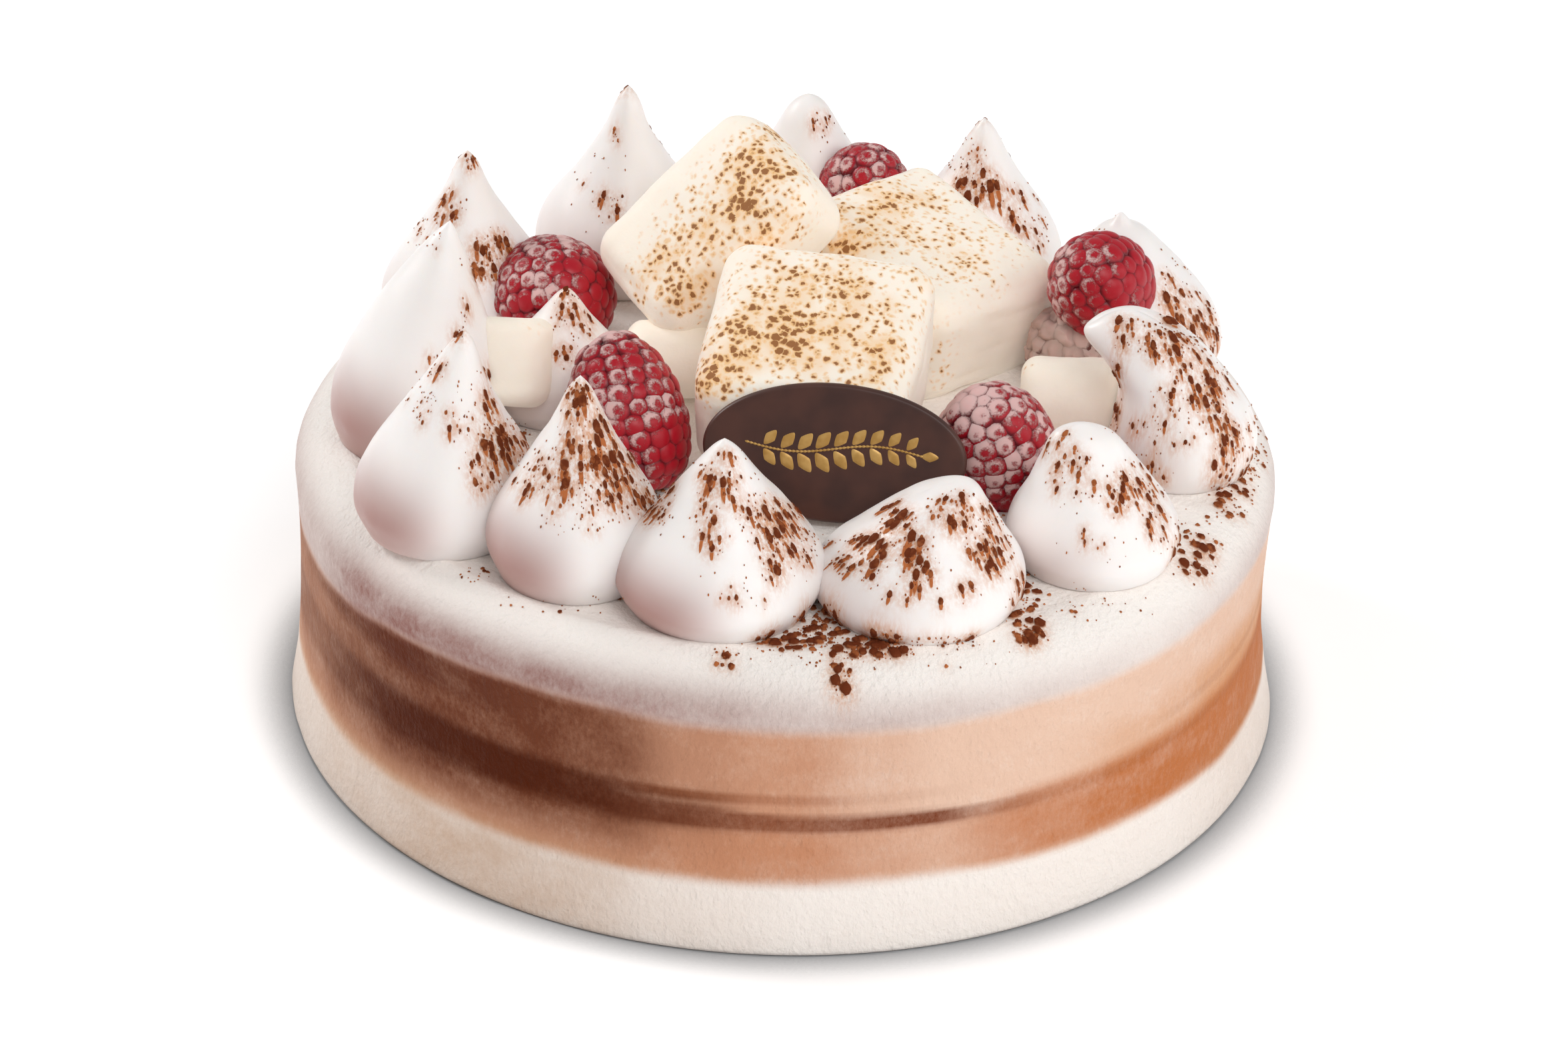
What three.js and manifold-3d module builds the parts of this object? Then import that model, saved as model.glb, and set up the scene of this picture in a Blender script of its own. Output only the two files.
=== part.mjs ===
// A round cream cake, 159 mm across, under a ring of piped cream kisses, toasted marshmallows,
// frosted raspberries and an oval chocolate plaque.
//
// Units are millimetres and +Z is up. The origin is the centre of the cake's flat underside,
// -Y is the front, where the plaque leans, and +X is the right-hand side seen from the front.
// Angles round the cake are degrees from +X, turning towards +Y.

import * as THREE from 'three';
import { mergeVertices } from 'three/addons/utils/BufferGeometryUtils.js';
import Module from 'manifold-3d';

const wasm = await Module();
wasm.setup();

// ---------------------------------------------------------------- driving dimensions

const CAKE_TOP = 49;            // height of the flat top
const FOOT_RADIUS = 79.4;       // the side flares a little where it meets the table
const FOOT_CHAMFER = 0.8;       // small bevel round the underside
const WAIST_RADIUS = 77;        // the side pulls in slightly above the foot
const RIM_RADIUS = 78.1;        // widest radius just under the rounded top edge
const RIM_HEIGHT = 41.6;        // height of that widest radius
const FLAT_RADIUS = 70.5;       // the top is flat out to here
const CAKE_SEGMENTS = 40;
const CAKE_WAVE = 0.3;          // how far the spread cream wanders in and out
const WAVE_STARTS = 2;          // height above which it begins to wander
const WAVE_FULL = 20;           // height above which it wanders fully

// Where the side's outline is drawn towards, between the foot and the rim: (radius, height).
const SIDE_PULLS = [[WAIST_RADIUS + 0.6, 9], [WAIST_RADIUS - 0.5, 24]];

const SPREAD_GAP = 0.3;         // clearance where one topping presses into another

const KISS_SEGMENTS = 14;
const KISS_RINGS = 9;
const KISS_LOBE = 0.025;        // how far a kiss is out of round, as a share of its radius
const CREST_FROM = 0.45;        // share of its height where a dragged kiss begins to be drawn out
const CREST_DROOP = 0.12;       // how much lower a crest's ends hang, for each square mm of reach
const TIP_FROM = 0.7;           // share of its height where a full kiss begins to narrow to its tip

const BERRY_SEGMENTS = 18;      // an even number, so that drupelets alternate round a ring
const BERRY_RINGS = 9;
const DRUPELET = 0.05;          // drupelet relief, as a share of the berry's radius

const BLOCK_STEPS = 5;          // facets along each edge of a large marshmallow
const BLOCK_ROUNDING = 4.2;     // radius of its soft edges
const BLOCK_SWELL = 0.9;        // how far the middle of each face swells

const MINI_SEGMENTS = 12;
const MINI_ROUNDING = 2.6;

const PLAQUE = { length: 41, height: 21.8, thickness: 1.9, bevel: 0.35, segments: 24 };

// ---------------------------------------------------------------- materials

const finish = (color, roughness) => new THREE.MeshStandardMaterial({ color, roughness, metalness: 0 });

const MATERIALS = {
  cake_cream: finish(0xf3e9e0, 0.6),
  kiss_cream: finish(0xf4eeea, 0.5),
  toasted_marshmallow: finish(0xf3e3c8, 0.75),
  plain_marshmallow: finish(0xf6e9d6, 0.75),
  raspberry: finish(0x9c1226, 0.4),
  frosted_raspberry: finish(0xa4808a, 0.8),
  dark_chocolate: finish(0x3d2622, 0.45),
};

// ---------------------------------------------------------------- helpers

const degrees = THREE.MathUtils.degToRad;

/** One closed skin: shared vertices, and no empty triangles where a lathe meets its axis. */
function closedSkin(geometry) {
  const bare = geometry.clone();
  bare.deleteAttribute('normal');
  bare.deleteAttribute('uv');
  const merged = mergeVertices(bare, 1e-4);
  const corners = merged.index.array;
  const kept = [];
  for (let i = 0; i < corners.length; i += 3) {
    const [a, b, c] = [corners[i], corners[i + 1], corners[i + 2]];
    if (a !== b && b !== c && c !== a) kept.push(a, b, c);
  }
  merged.setIndex(kept);
  return merged;
}

/** Moves every vertex of a geometry by a function that changes the point it is given. */
function reshape(geometry, change) {
  const position = geometry.attributes.position;
  const point = new THREE.Vector3();
  for (let i = 0; i < position.count; i++) {
    point.fromBufferAttribute(position, i);
    change(point, i);
    position.setXYZ(i, point.x, point.y, point.z);
  }
  return geometry;
}

/** A lathe that stands up along +Z, from profile points (radius, height) listed from the bottom. */
function standingLathe(profile, segments) {
  return new THREE.LatheGeometry(profile, segments).rotateX(Math.PI / 2);
}

function solidFrom(geometry) {
  const skin = closedSkin(geometry);
  return new wasm.Manifold(new wasm.Mesh({
    numProp: 3,
    vertProperties: Float32Array.from(skin.attributes.position.array),
    triVerts: Uint32Array.from(skin.index.array),
  }));
}

function geometryFrom(solid) {
  const mesh = solid.getMesh();
  const geometry = new THREE.BufferGeometry();
  geometry.setAttribute('position', new THREE.BufferAttribute(Float32Array.from(mesh.vertProperties), 3));
  geometry.setIndex(new THREE.BufferAttribute(Uint32Array.from(mesh.triVerts), 1));
  return geometry;
}

// ---------------------------------------------------------------- the cake

/** The cream-covered cake: a soft rim above, a slight waist, and a foot that flares. */
function cakeBody() {
  const outline = new THREE.Path();
  outline.moveTo(0, 0);
  outline.lineTo(FOOT_RADIUS - FOOT_CHAMFER, 0);
  outline.lineTo(FOOT_RADIUS, FOOT_CHAMFER);
  outline.bezierCurveTo(...SIDE_PULLS[0], ...SIDE_PULLS[1], RIM_RADIUS, RIM_HEIGHT);
  const [rimWide, rimTall] = [RIM_RADIUS - FLAT_RADIUS, CAKE_TOP - RIM_HEIGHT];
  outline.absellipse(FLAT_RADIUS, RIM_HEIGHT, rimWide, rimTall, 0, Math.PI / 2);
  outline.lineTo(0, CAKE_TOP);
  const geometry = standingLathe(outline.getPoints(4), CAKE_SEGMENTS);
  return reshape(geometry, (p) => {
    const around = Math.atan2(p.y, p.x);
    const wave = CAKE_WAVE * (Math.sin(3 * around + 4.1) + 0.5 * Math.sin(5 * around + 5.2));
    const share = (wave / FOOT_RADIUS) * THREE.MathUtils.smoothstep(p.z, WAVE_STARTS, WAVE_FULL);
    p.x *= 1 + share;
    p.y *= 1 + share;
  });
}

// ---------------------------------------------------------------- piped kisses

// A kiss's outline as (share of its radius, share of its height): a tucked-in base, a round
// belly low down, and sides that hollow towards the tip.
const KISS_OUTLINE = [[0.86, 0], [1, 0.15], [0.93, 0.32], [0.63, 0.54], [0.34, 0.75], [0.13, 0.93], [0, 1]];

/**
 * A piped kiss. Its tip leans by lean along X. A dragged tip is drawn out into a crest along X,
 * which may rise towards +X. A fullness above 1 fills its hollow sides out, right up to the top
 * on a domed one. A spike stands on the top of some domes, and a tuck pulls the -X flank in.
 */
function kiss(size, grow = 0) {
  const { radius, height, lean = 0, crest = 0, rise = 0 } = size;
  const { fullness = 1, domed = false, spike = 0, tuck = 0 } = size;
  const curve = new THREE.SplineCurve(KISS_OUTLINE.map(([r, z]) => new THREE.Vector2(r, z)));
  const full = radius + grow;
  const tall = height + grow;
  const profile = curve.getPoints(KISS_RINGS - 1).map((p) => {
    const narrowed = domed ? 0 : THREE.MathUtils.smoothstep(p.y, TIP_FROM, 1);
    const filled = 1 + (fullness - 1) * (1 - narrowed);
    return new THREE.Vector2(Math.max(p.x, 0) ** (1 / filled) * full, p.y * tall);
  });
  profile[profile.length - 1].x = 0;
  profile.unshift(new THREE.Vector2(0, 0));
  return reshape(standingLathe(profile, KISS_SEGMENTS), (p) => {
    const up = p.z / tall;
    const around = Math.atan2(p.y, p.x);
    const onAxis = Math.hypot(p.x, p.y) < 1e-4;
    const lobe = 1 + KISS_LOBE * Math.sin(2 * around) * Math.sin(Math.PI * up);
    const drawn = onAxis ? 0 : (crest / 2) * THREE.MathUtils.smoothstep(up, CREST_FROM, 1) * Math.cos(around);
    const tucked = onAxis ? 0 : (tuck / 2) * (1 - Math.cos(around)) * Math.sin(Math.PI * up) * (1 - up);
    p.x = p.x * lobe + drawn + tucked;
    p.y *= lobe;
    p.z *= 1 + rise * (p.x / full) * up * up;
    p.z += (onAxis ? spike * up : 0) - CREST_DROOP * drawn * drawn;
    p.x += lean * up * up;
  });
}

// ---------------------------------------------------------------- raspberries

const BERRY_OUTLINE = [[0.58, 0], [0.88, 0.12], [1, 0.36], [0.9, 0.64], [0.62, 0.86], [0.3, 0.97], [0, 1]];

/** A raspberry standing on its hollow end, with drupelets in alternating rings. */
function raspberry({ radius, length }, grow = 0) {
  const curve = new THREE.SplineCurve(BERRY_OUTLINE.map(([r, z]) => new THREE.Vector2(r, z)));
  const profile = curve.getSpacedPoints(BERRY_RINGS - 1).map(
    (p) => new THREE.Vector2(Math.max(p.x, 0) * (radius + grow), (p.y - 0.5) * (length + 2 * grow)),
  );
  profile[profile.length - 1].x = 0;
  profile.unshift(new THREE.Vector2(0, profile[0].y));
  const rings = profile.length;
  return reshape(standingLathe(profile, BERRY_SEGMENTS), (p, i) => {
    const column = Math.floor(i / rings) % BERRY_SEGMENTS;
    const bump = (column + (i % rings)) % 2 ? DRUPELET : -DRUPELET;
    p.x *= 1 + bump;
    p.y *= 1 + bump;
  });
}

// ---------------------------------------------------------------- marshmallows

/** A large marshmallow block with soft edges and slightly swollen faces. Its toasted face is +Z. */
function block({ width, depth, thickness }, grow = 0) {
  const half = [width, depth, thickness].map((side) => side / 2 + grow);
  const geometry = new THREE.BoxGeometry(2, 2, 2, BLOCK_STEPS, BLOCK_STEPS, BLOCK_STEPS);
  return reshape(geometry, (p) => {
    const unit = [p.x, p.y, p.z];
    const core = unit.map((u, k) => u * half[k]);
    const straight = half.map((h) => h - BLOCK_ROUNDING);
    const inner = core.map((c, k) => THREE.MathUtils.clamp(c, -straight[k], straight[k]));
    const out = new THREE.Vector3(core[0] - inner[0], core[1] - inner[1], core[2] - inner[2]);
    if (out.length() > 1e-6) out.setLength(BLOCK_ROUNDING);
    const swell = unit.map((u, k) => {
      const [a, b] = unit.filter((_, other) => other !== k);
      return BLOCK_SWELL * u * (1 - a * a) * (1 - b * b);
    });
    p.set(inner[0] + out.x + swell[0], inner[1] + out.y + swell[1], inner[2] + out.z + swell[2]);
  });
}

/** A mini marshmallow: a short barrel along Z with soft ends. */
function miniMarshmallow({ radius, length, taper = 0 }, grow = 0) {
  const full = radius + grow;
  const half = length / 2 + grow;
  const outline = new THREE.Path();
  outline.moveTo(0, -half);
  outline.lineTo(full - MINI_ROUNDING, -half);
  outline.absarc(full - MINI_ROUNDING, MINI_ROUNDING - half, MINI_ROUNDING, -Math.PI / 2, 0);
  outline.absarc(full - MINI_ROUNDING, half - MINI_ROUNDING, MINI_ROUNDING, 0, Math.PI / 2);
  outline.lineTo(0, half);
  return reshape(standingLathe(outline.getPoints(2), MINI_SEGMENTS), (p) => {
    const wide = 1 + taper * (p.z / half);
    p.x *= wide;
    p.y *= wide;
  });
}

// ---------------------------------------------------------------- the plaque

/** A thin oval of dark chocolate standing on its long edge, its plain face towards -Y. */
function plaque({ length, height, thickness, bevel, segments }, grow = 0) {
  const oval = new THREE.Shape();
  oval.absellipse(0, 0, length / 2 - bevel + grow, height / 2 - bevel + grow, 0, 2 * Math.PI);
  const deep = thickness + 2 * grow;
  const geometry = new THREE.ExtrudeGeometry(oval, {
    depth: deep - 2 * bevel,
    bevelThickness: bevel,
    bevelSize: bevel,
    bevelSegments: 1,
    curveSegments: segments,
  });
  geometry.translate(0, 0, bevel - deep / 2);
  return geometry.rotateX(Math.PI / 2);
}

// ---------------------------------------------------------------- where everything sits

/** A point on the cake's top, at an angle round it and a distance from the middle. */
function onTop(angle, reach, lift = 0) {
  return [reach * Math.cos(degrees(angle)), reach * Math.sin(degrees(angle)), CAKE_TOP + lift];
}

// The ring of twelve kisses, from the front one round to the right, and one more inside it.
const KISSES = [
  { angle: 260, reach: 55.8, radius: 16, height: 27.7, lean: 0.3, fullness: 1.08 },
  { angle: 291, reach: 56.6, radius: 16.3, height: 19.3, lean: 2.3, crest: 3, rise: 0.35,
    fullness: 1.6, domed: true },
  { angle: 320.5, reach: 61.2, radius: 13.3, height: 22.7, lean: -2.6, crest: 4, fullness: 1.4, domed: true },
  { angle: 351.8, reach: 61.8, radius: 13, height: 26.5, lean: -8.8, crest: 9,
    fullness: 1.6, domed: true, tuck: 6 },
  { angle: 23.6, reach: 59.9, radius: 15, height: 24.6, lean: -2.4, fullness: 1.6, domed: true, spike: 1.6 },
  { angle: 58.3, reach: 58.2, radius: 13.8, height: 29.6, lean: 0.3 },
  { angle: 87.9, reach: 56.6, radius: 13, height: 29.5, fullness: 1.4, domed: true },
  { angle: 119.3, reach: 57.4, radius: 14.6, height: 33.5, lean: 0.7, fullness: 0.85 },
  { angle: 150.8, reach: 60.5, radius: 13.7, height: 31.5, lean: 0.2, fullness: 0.95 },
  { angle: 187, reach: 59.2, radius: 13.5, height: 38, lean: 5.6, fullness: 1.35 },
  { angle: 213.5, reach: 63, radius: 14.1, height: 34, lean: 3.2 },
  { angle: 236, reach: 57, radius: 13.5, height: 33.5, lean: 0.6 },
  { angle: 173, reach: 36.8, radius: 12.3, height: 20.5, lean: 1, inner: true },
];

// The large marshmallows: the middle of each block, and its turns about X, Y and Z in degrees.
const BLOCKS = {
  front: { at: [4, -9, 63.8], turn: [21, 2, -9], width: 33, depth: 33, thickness: 21 },
  right: { at: [20.8, 27.3, 59.6], turn: [11, 2.5, 43], width: 29.5, depth: 36, thickness: 19.5 },
  left: { at: [-11.7, 20.5, 71.2], turn: [44, 16.5, -56], width: 23.4, depth: 33.4, thickness: 17.5 },
};

// Mini marshmallows and raspberries: the middle of each, and its turns about X, Y and Z.
const MINIS = {
  left: { at: [-44, -6, 61.5], turn: [-30, 0, 0], radius: 6.6, length: 14, taper: 0.05 },
  middle: { at: [-19, 7.2, 55.3], turn: [90, 12, 100], radius: 6.5, length: 13.5 },
  right: { at: [44.5, -1, 55.3], turn: [90, 0, 88], radius: 6, length: 15.5 },
};

const BERRIES = {
  left_back: { at: [-38, 21, 58.6], turn: [60, 0, 20], radius: 10.3, length: 19 },
  left_front: { at: [-25.5, -18, 60], turn: [-28, -14, 0], radius: 9.7, length: 25 },
  back: { at: [11.8, 48, 66.4], turn: [40, 20, 0], radius: 7.5, length: 16 },
  right_back: { at: [49, 14.5, 67.4], turn: [50, 0, -20], radius: 8.7, length: 18 },
  right_front: { at: [32.2, -20.5, 57.2], turn: [20, -12, 0], radius: 9.9, length: 22 },
  frosted: { at: [45.3, 15.5, 55.6], radius: 7.4, length: 13.5, frosted: true },
};

const PLAQUE_PLACE = { at: [7.3, -30, 60.3], turn: [-19, 0, -7] };

// ---------------------------------------------------------------- assembly

const cake = new THREE.Group();

function addMesh(name, geometry, material) {
  const mesh = new THREE.Mesh(geometry, material);
  mesh.name = name;
  cake.add(mesh);
  return mesh;
}

/** Turns and places a topping as its entry says. */
function place(mesh, { at, turn = [0, 0, 0] }) {
  mesh.position.set(...at);
  mesh.rotation.set(...turn.map(degrees), 'ZYX');
  mesh.updateMatrixWorld();
  return mesh;
}

// Everything that has been set on the cake so far, as solids a little larger than the piece.
const settled = [];

/** Everything under the flat top, which no topping may enter. */
const underTop = solidFrom(new THREE.BoxGeometry(400, 400, 60).translate(0, 0, CAKE_TOP + SPREAD_GAP - 30));

/** Sets a topping on the cake. It is pressed in by what lies there already, and keeps a thin gap. */
function settle(name, shape, size, placement, material, lies = true) {
  const mesh = place(addMesh(name, shape(size), material), placement);
  const inPlace = (grow) => shape(size, grow).applyMatrix4(mesh.matrixWorld);
  let solid = solidFrom(inPlace(0));
  if (lies) solid = solid.subtract(underTop);
  for (const neighbour of settled) solid = solid.subtract(neighbour);
  mesh.geometry = geometryFrom(solid).applyMatrix4(mesh.matrixWorld.clone().invert());
  settled.push(solidFrom(inPlace(SPREAD_GAP)));
}

addMesh('cake_body', cakeBody(), MATERIALS.cake_cream);

settle('plaque', plaque, PLAQUE, PLAQUE_PLACE, MATERIALS.dark_chocolate);
for (const [side, entry] of Object.entries(BLOCKS)) {
  settle(`marshmallow_${side}`, block, entry, entry, MATERIALS.toasted_marshmallow);
}
for (const [side, entry] of Object.entries(MINIS)) {
  settle(`mini_marshmallow_${side}`, miniMarshmallow, entry, entry, MATERIALS.plain_marshmallow);
}
for (const [side, entry] of Object.entries(BERRIES)) {
  const coat = entry.frosted ? MATERIALS.frosted_raspberry : MATERIALS.raspberry;
  settle(`raspberry_${side}`, raspberry, entry, entry, coat);
}
KISSES.forEach((entry, i) => {
  const name = entry.inner ? 'kiss_inner' : `kiss_${String(i + 1).padStart(2, '0')}`;
  settle(name, kiss, entry, { at: onTop(entry.angle, entry.reach) }, MATERIALS.kiss_cream, false);
});

export default cake;
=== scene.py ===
# %% [markdown]
# A round cream cake, about 16 cm across, stands on a plain floor. A ring of piped cream kisses
# runs round its edge, and toasted marshmallows, frosted raspberries and an oval chocolate plaque
# lie inside the ring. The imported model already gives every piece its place. Here each piece is
# made again as a fine smooth mesh at that same place, so that light can glide over the cream.

import math
import random

import bpy
import numpy as np
from mathutils import Euler, Matrix, Vector, noise
from mathutils.bvhtree import BVHTree


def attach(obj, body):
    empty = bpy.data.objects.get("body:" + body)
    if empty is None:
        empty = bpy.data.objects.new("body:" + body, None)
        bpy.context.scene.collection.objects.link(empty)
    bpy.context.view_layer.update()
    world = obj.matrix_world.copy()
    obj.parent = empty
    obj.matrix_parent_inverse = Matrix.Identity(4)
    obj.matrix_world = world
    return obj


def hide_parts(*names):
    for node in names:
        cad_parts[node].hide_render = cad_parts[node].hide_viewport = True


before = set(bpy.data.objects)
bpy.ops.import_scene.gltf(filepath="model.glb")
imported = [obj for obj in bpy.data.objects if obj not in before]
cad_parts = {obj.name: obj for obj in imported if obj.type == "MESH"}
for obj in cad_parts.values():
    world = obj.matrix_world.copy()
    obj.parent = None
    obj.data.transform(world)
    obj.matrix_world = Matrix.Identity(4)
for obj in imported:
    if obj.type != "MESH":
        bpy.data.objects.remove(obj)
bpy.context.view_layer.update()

# %% [markdown]
# Pastry is measured in millimetres and Blender works in metres. One factor joins the two, and
# every size below is written in millimetres, just as a pastry cook would say it.

# %% Units and driving sizes
MM = 0.001
CAKE_TOP = 49.0        # height of the flat top
FOOT_RADIUS = 79.4     # the side flares a little at the floor
WAIST_RADIUS = 77.0
RIM_RADIUS = 78.1      # widest just under the rounded top edge
RIM_HEIGHT = 41.6
FLAT_RADIUS = 70.5     # the top is flat out to here


def smooth(low, high, value):
    """0 below low, 1 above high, and an even S-shaped rise between. Works on numbers and arrays."""
    share = np.clip((np.asarray(value, float) - low) / (high - low), 0, 1)
    return share * share * (3 - 2 * share)


# %% [markdown]
# The camera looks down at the cake by about 30 degrees through a long lens, so the cake's sides
# stay nearly parallel. It is placed by orbit: a point to aim at, a distance and a slope. A tiny
# roll tips the picture. The picture measures 2353 by 1568 pixels, and a lens of about 143 mm in
# front of a 36 mm sensor lets the cake fill it as it should.

# %% Camera
PHOTO_WIDE, PHOTO_TALL = 2353, 1568
AIM = Vector((-0.215, 0, 29.973)) * MM
DISTANCE = 1000 * MM
SLOPE = math.radians(30.495)
ROLL = math.radians(1.5)
FOCAL_PIXELS = 9342.9

camera = bpy.data.objects.new("camera", bpy.data.cameras.new("camera"))
bpy.context.scene.collection.objects.link(camera)
camera.data.sensor_width = 36
camera.data.lens = FOCAL_PIXELS / PHOTO_WIDE * camera.data.sensor_width
camera.data.clip_start = 0.05
camera.data.clip_end = 20
turned_down = Matrix.Rotation(math.pi / 2 - SLOPE, 4, "X") @ Matrix.Rotation(ROLL, 4, "Z")
to_camera = Vector((0, -math.cos(SLOPE), math.sin(SLOPE)))
camera.matrix_world = Matrix.Translation(AIM + to_camera * DISTANCE) @ turned_down
bpy.context.scene.camera = camera
bpy.context.scene.view_settings.view_transform = "Standard"
print("camera at", camera.matrix_world.translation, "with a lens of", round(camera.data.lens, 1))

# %% [markdown]
# Food on white is lit softly. A bright even sky fills every side, and a big soft key lamp high in
# front gives the kisses their lit and shaded flanks. A weaker lamp in front on the right lifts
# the upright faces, and a low one on the right lights what the kisses there would shade. One on
# the left, a little behind the cake, draws a bright edge and a moist glint along the left-hand
# kisses. A lamp's turn goes round the cake in degrees from the front to the right, and its rise
# goes up from the floor. Its size is in metres and its power in watts.

# %% Light
SKY_LIGHT = 0.45
LAMP_DISTANCE = 1.2
LAMPS = {
    "key lamp": dict(turn=22, rise=52, size=0.6, power=3.8),
    "front lamp": dict(turn=48, rise=34, size=0.7, power=2.2),
    "right lamp": dict(turn=88, rise=20, size=0.7, power=1.5),
    "edge lamp": dict(turn=-118, rise=32, size=0.4, power=5.6),
}

world = bpy.data.worlds.new("soft studio")
bpy.context.scene.world = world
world.use_nodes = True
world.node_tree.nodes["Background"].inputs["Color"].default_value = (1, 0.995, 0.99, 1)
world.node_tree.nodes["Background"].inputs["Strength"].default_value = SKY_LIGHT


def soft_lamp(name, turn, rise, size, power):
    """A round soft lamp that shines at the middle of the cake."""
    lamp = bpy.data.objects.new(name, bpy.data.lights.new(name, "AREA"))
    bpy.context.scene.collection.objects.link(lamp)
    lamp.data.energy = power
    lamp.data.shape = "DISK"
    lamp.data.size = size
    turn, rise = math.radians(turn), math.radians(rise)
    away = Vector((math.sin(turn) * math.cos(rise), -math.cos(turn) * math.cos(rise), math.sin(rise)))
    lamp.location = AIM + away * LAMP_DISTANCE
    lamp.rotation_euler = away.to_track_quat("Z", "Y").to_euler()


for name, entry in LAMPS.items():
    soft_lamp(name, **entry)
print(len(LAMPS), "lamps at", LAMP_DISTANCE, "m")

# %% [markdown]
# Materials are built from nodes. A few small helpers keep that short: they add a node, fill or
# link its inputs, mix two colours or do a sum. The effects that several materials share become
# node groups with named inputs and outputs.

# %% Helpers for nodes
def feed(tree, node, inputs):
    """Fills a node's inputs. One that is given a socket is linked, and any other value is set."""
    for key, value in inputs.items():
        if isinstance(value, bpy.types.NodeSocket):
            tree.links.new(value, node.inputs[key])
        else:
            node.inputs[key].default_value = value


def add(tree, kind, inputs=None, **settings):
    """A new node with its settings and inputs."""
    made = tree.nodes.new(kind)
    for key, value in settings.items():
        setattr(made, key, value)
    feed(tree, made, inputs or {})
    return made


def use(tree, effect, inputs):
    """One of the shared effects, placed in a material with its own values. Gives its outputs."""
    return add(tree, "ShaderNodeGroup", inputs, node_tree=effect).outputs


MIX_FACTOR, MIX_A, MIX_B, MIX_RESULT = 0, 6, 7, 2   # the colour sockets of the mix node, by number


def mix(tree, share, under, over):
    """One colour laid over another, by a share from 0 to 1."""
    made = add(tree, "ShaderNodeMix", {MIX_FACTOR: share, MIX_A: under, MIX_B: over}, data_type="RGBA")
    return made.outputs[MIX_RESULT]


def sums(tree, operation, first, second, clamp=False):
    made = add(tree, "ShaderNodeMath", {0: first, 1: second}, operation=operation, use_clamp=clamp)
    return made.outputs[0]


def rise(tree, value, low, high, start=0.0, end=1.0):
    """An S-shaped rise from start to end while value goes from low to high."""
    made = add(tree, "ShaderNodeMapRange",
               {"Value": value, "From Min": low, "From Max": high, "To Min": start, "To Max": end},
               interpolation_type="SMOOTHSTEP")
    return made.outputs["Result"]


def clouds(tree, vector, scale, detail, roughness=0.5):
    """A soft noise from 0 to 1. A scale of 1 makes clouds of about 1 mm."""
    return add(tree, "ShaderNodeTexNoise",
               {"Vector": vector, "Scale": scale, "Detail": detail, "Roughness": roughness}).outputs["Fac"]


def vectors(tree, operation, first, second):
    return add(tree, "ShaderNodeVectorMath", {0: first, 1: second}, operation=operation).outputs[0]


def stretch(tree, vector, amounts):
    return vectors(tree, "MULTIPLY", vector, amounts)


def painted(tree, name):
    """The number that a mesh carries under this name at every point."""
    return add(tree, "ShaderNodeAttribute", attribute_name=name).outputs["Fac"]


def rgb(red, green, blue):
    """A colour picker's 0 to 255 values as the linear colour that Blender's sockets take."""
    def linear(value):
        share = value / 255
        return share / 12.92 if share <= 0.04045 else ((share + 0.055) / 1.055) ** 2.4
    return (linear(red), linear(green), linear(blue), 1)


def group(name, inputs, outputs):
    """An empty shader group: its tree, what it takes in and the node that gives its outputs.

    Each input is written (name, kind, value), and each output (name, kind).
    """
    tree = bpy.data.node_groups.new(name, "ShaderNodeTree")
    for label, kind, value in inputs:
        socket = tree.interface.new_socket(label, in_out="INPUT", socket_type="NodeSocket" + kind)
        if value is not None:
            socket.default_value = value
    for label, kind in outputs:
        tree.interface.new_socket(label, in_out="OUTPUT", socket_type="NodeSocket" + kind)
    return tree, tree.nodes.new("NodeGroupInput").outputs, tree.nodes.new("NodeGroupOutput")


def finish_material(name):
    """A new material with its tree, its Principled BSDF and its place on the piece in millimetres."""
    material = bpy.data.materials.new(name)
    material.use_nodes = True
    tree = material.node_tree
    shader = tree.nodes["Principled BSDF"]
    where = add(tree, "ShaderNodeTexCoord").outputs["Object"]
    millimetres = add(tree, "ShaderNodeVectorMath", {0: where, "Scale": 1 / MM}, operation="SCALE")
    return material, tree, shader, millimetres.outputs[0]


def relief(tree, shader, height, strength, distance):
    """Feeds a height to the shader's normal through a Bump node, with its distance in mm."""
    bump = add(tree, "ShaderNodeBump", {"Height": height, "Strength": strength, "Distance": distance * MM})
    feed(tree, shader, {"Normal": bump.outputs[0]})


def let_light_in(shader, weight, radius, depth):
    """How much light soaks in, how far its red, green and blue spread, and the depth in mm."""
    shader.inputs["Subsurface Weight"].default_value = weight
    shader.inputs["Subsurface Radius"].default_value = radius
    shader.inputs["Subsurface Scale"].default_value = depth * MM


# %% [markdown]
# No food is perfectly smooth. Spread cream keeps tiny ripples, marshmallow is powdery and
# chocolate is slightly clouded. One group makes that unevenness: a broad soft ripple and a fine
# grain in one height, which each material feeds to its own Bump node.

# %% Node group: soft unevenness
UNEVEN, take, give = group(
    "soft unevenness",
    [("Vector", "Vector", None), ("Ripple Scale", "Float", 0.2), ("Grain Scale", "Float", 2.0),
     ("Grain Share", "Float", 0.3)],
    [("Height", "Float"), ("Cloud", "Float")],
)
ripple = clouds(UNEVEN, take["Vector"], take["Ripple Scale"], 2.0, 0.45)
grain = clouds(UNEVEN, take["Vector"], take["Grain Scale"], 3.0, 0.6)
grain_part = sums(UNEVEN, "MULTIPLY", grain, take["Grain Share"])
feed(UNEVEN, give, {"Height": sums(UNEVEN, "ADD", ripple, grain_part), "Cloud": ripple})

# %% [markdown]
# Cocoa falls on cream and drinks its moisture, so where much of it lies the cream takes on a
# soft orange tan that runs down the slope. The flecks themselves are meshes. The stain is only a
# colour, led by a number named cocoa that each cream mesh carries, and broken up into downward
# streaks by a noise that is drawn out along the vertical.

# %% Node group: cocoa stain
STAIN_TAN = rgb(206, 132, 68)

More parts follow.
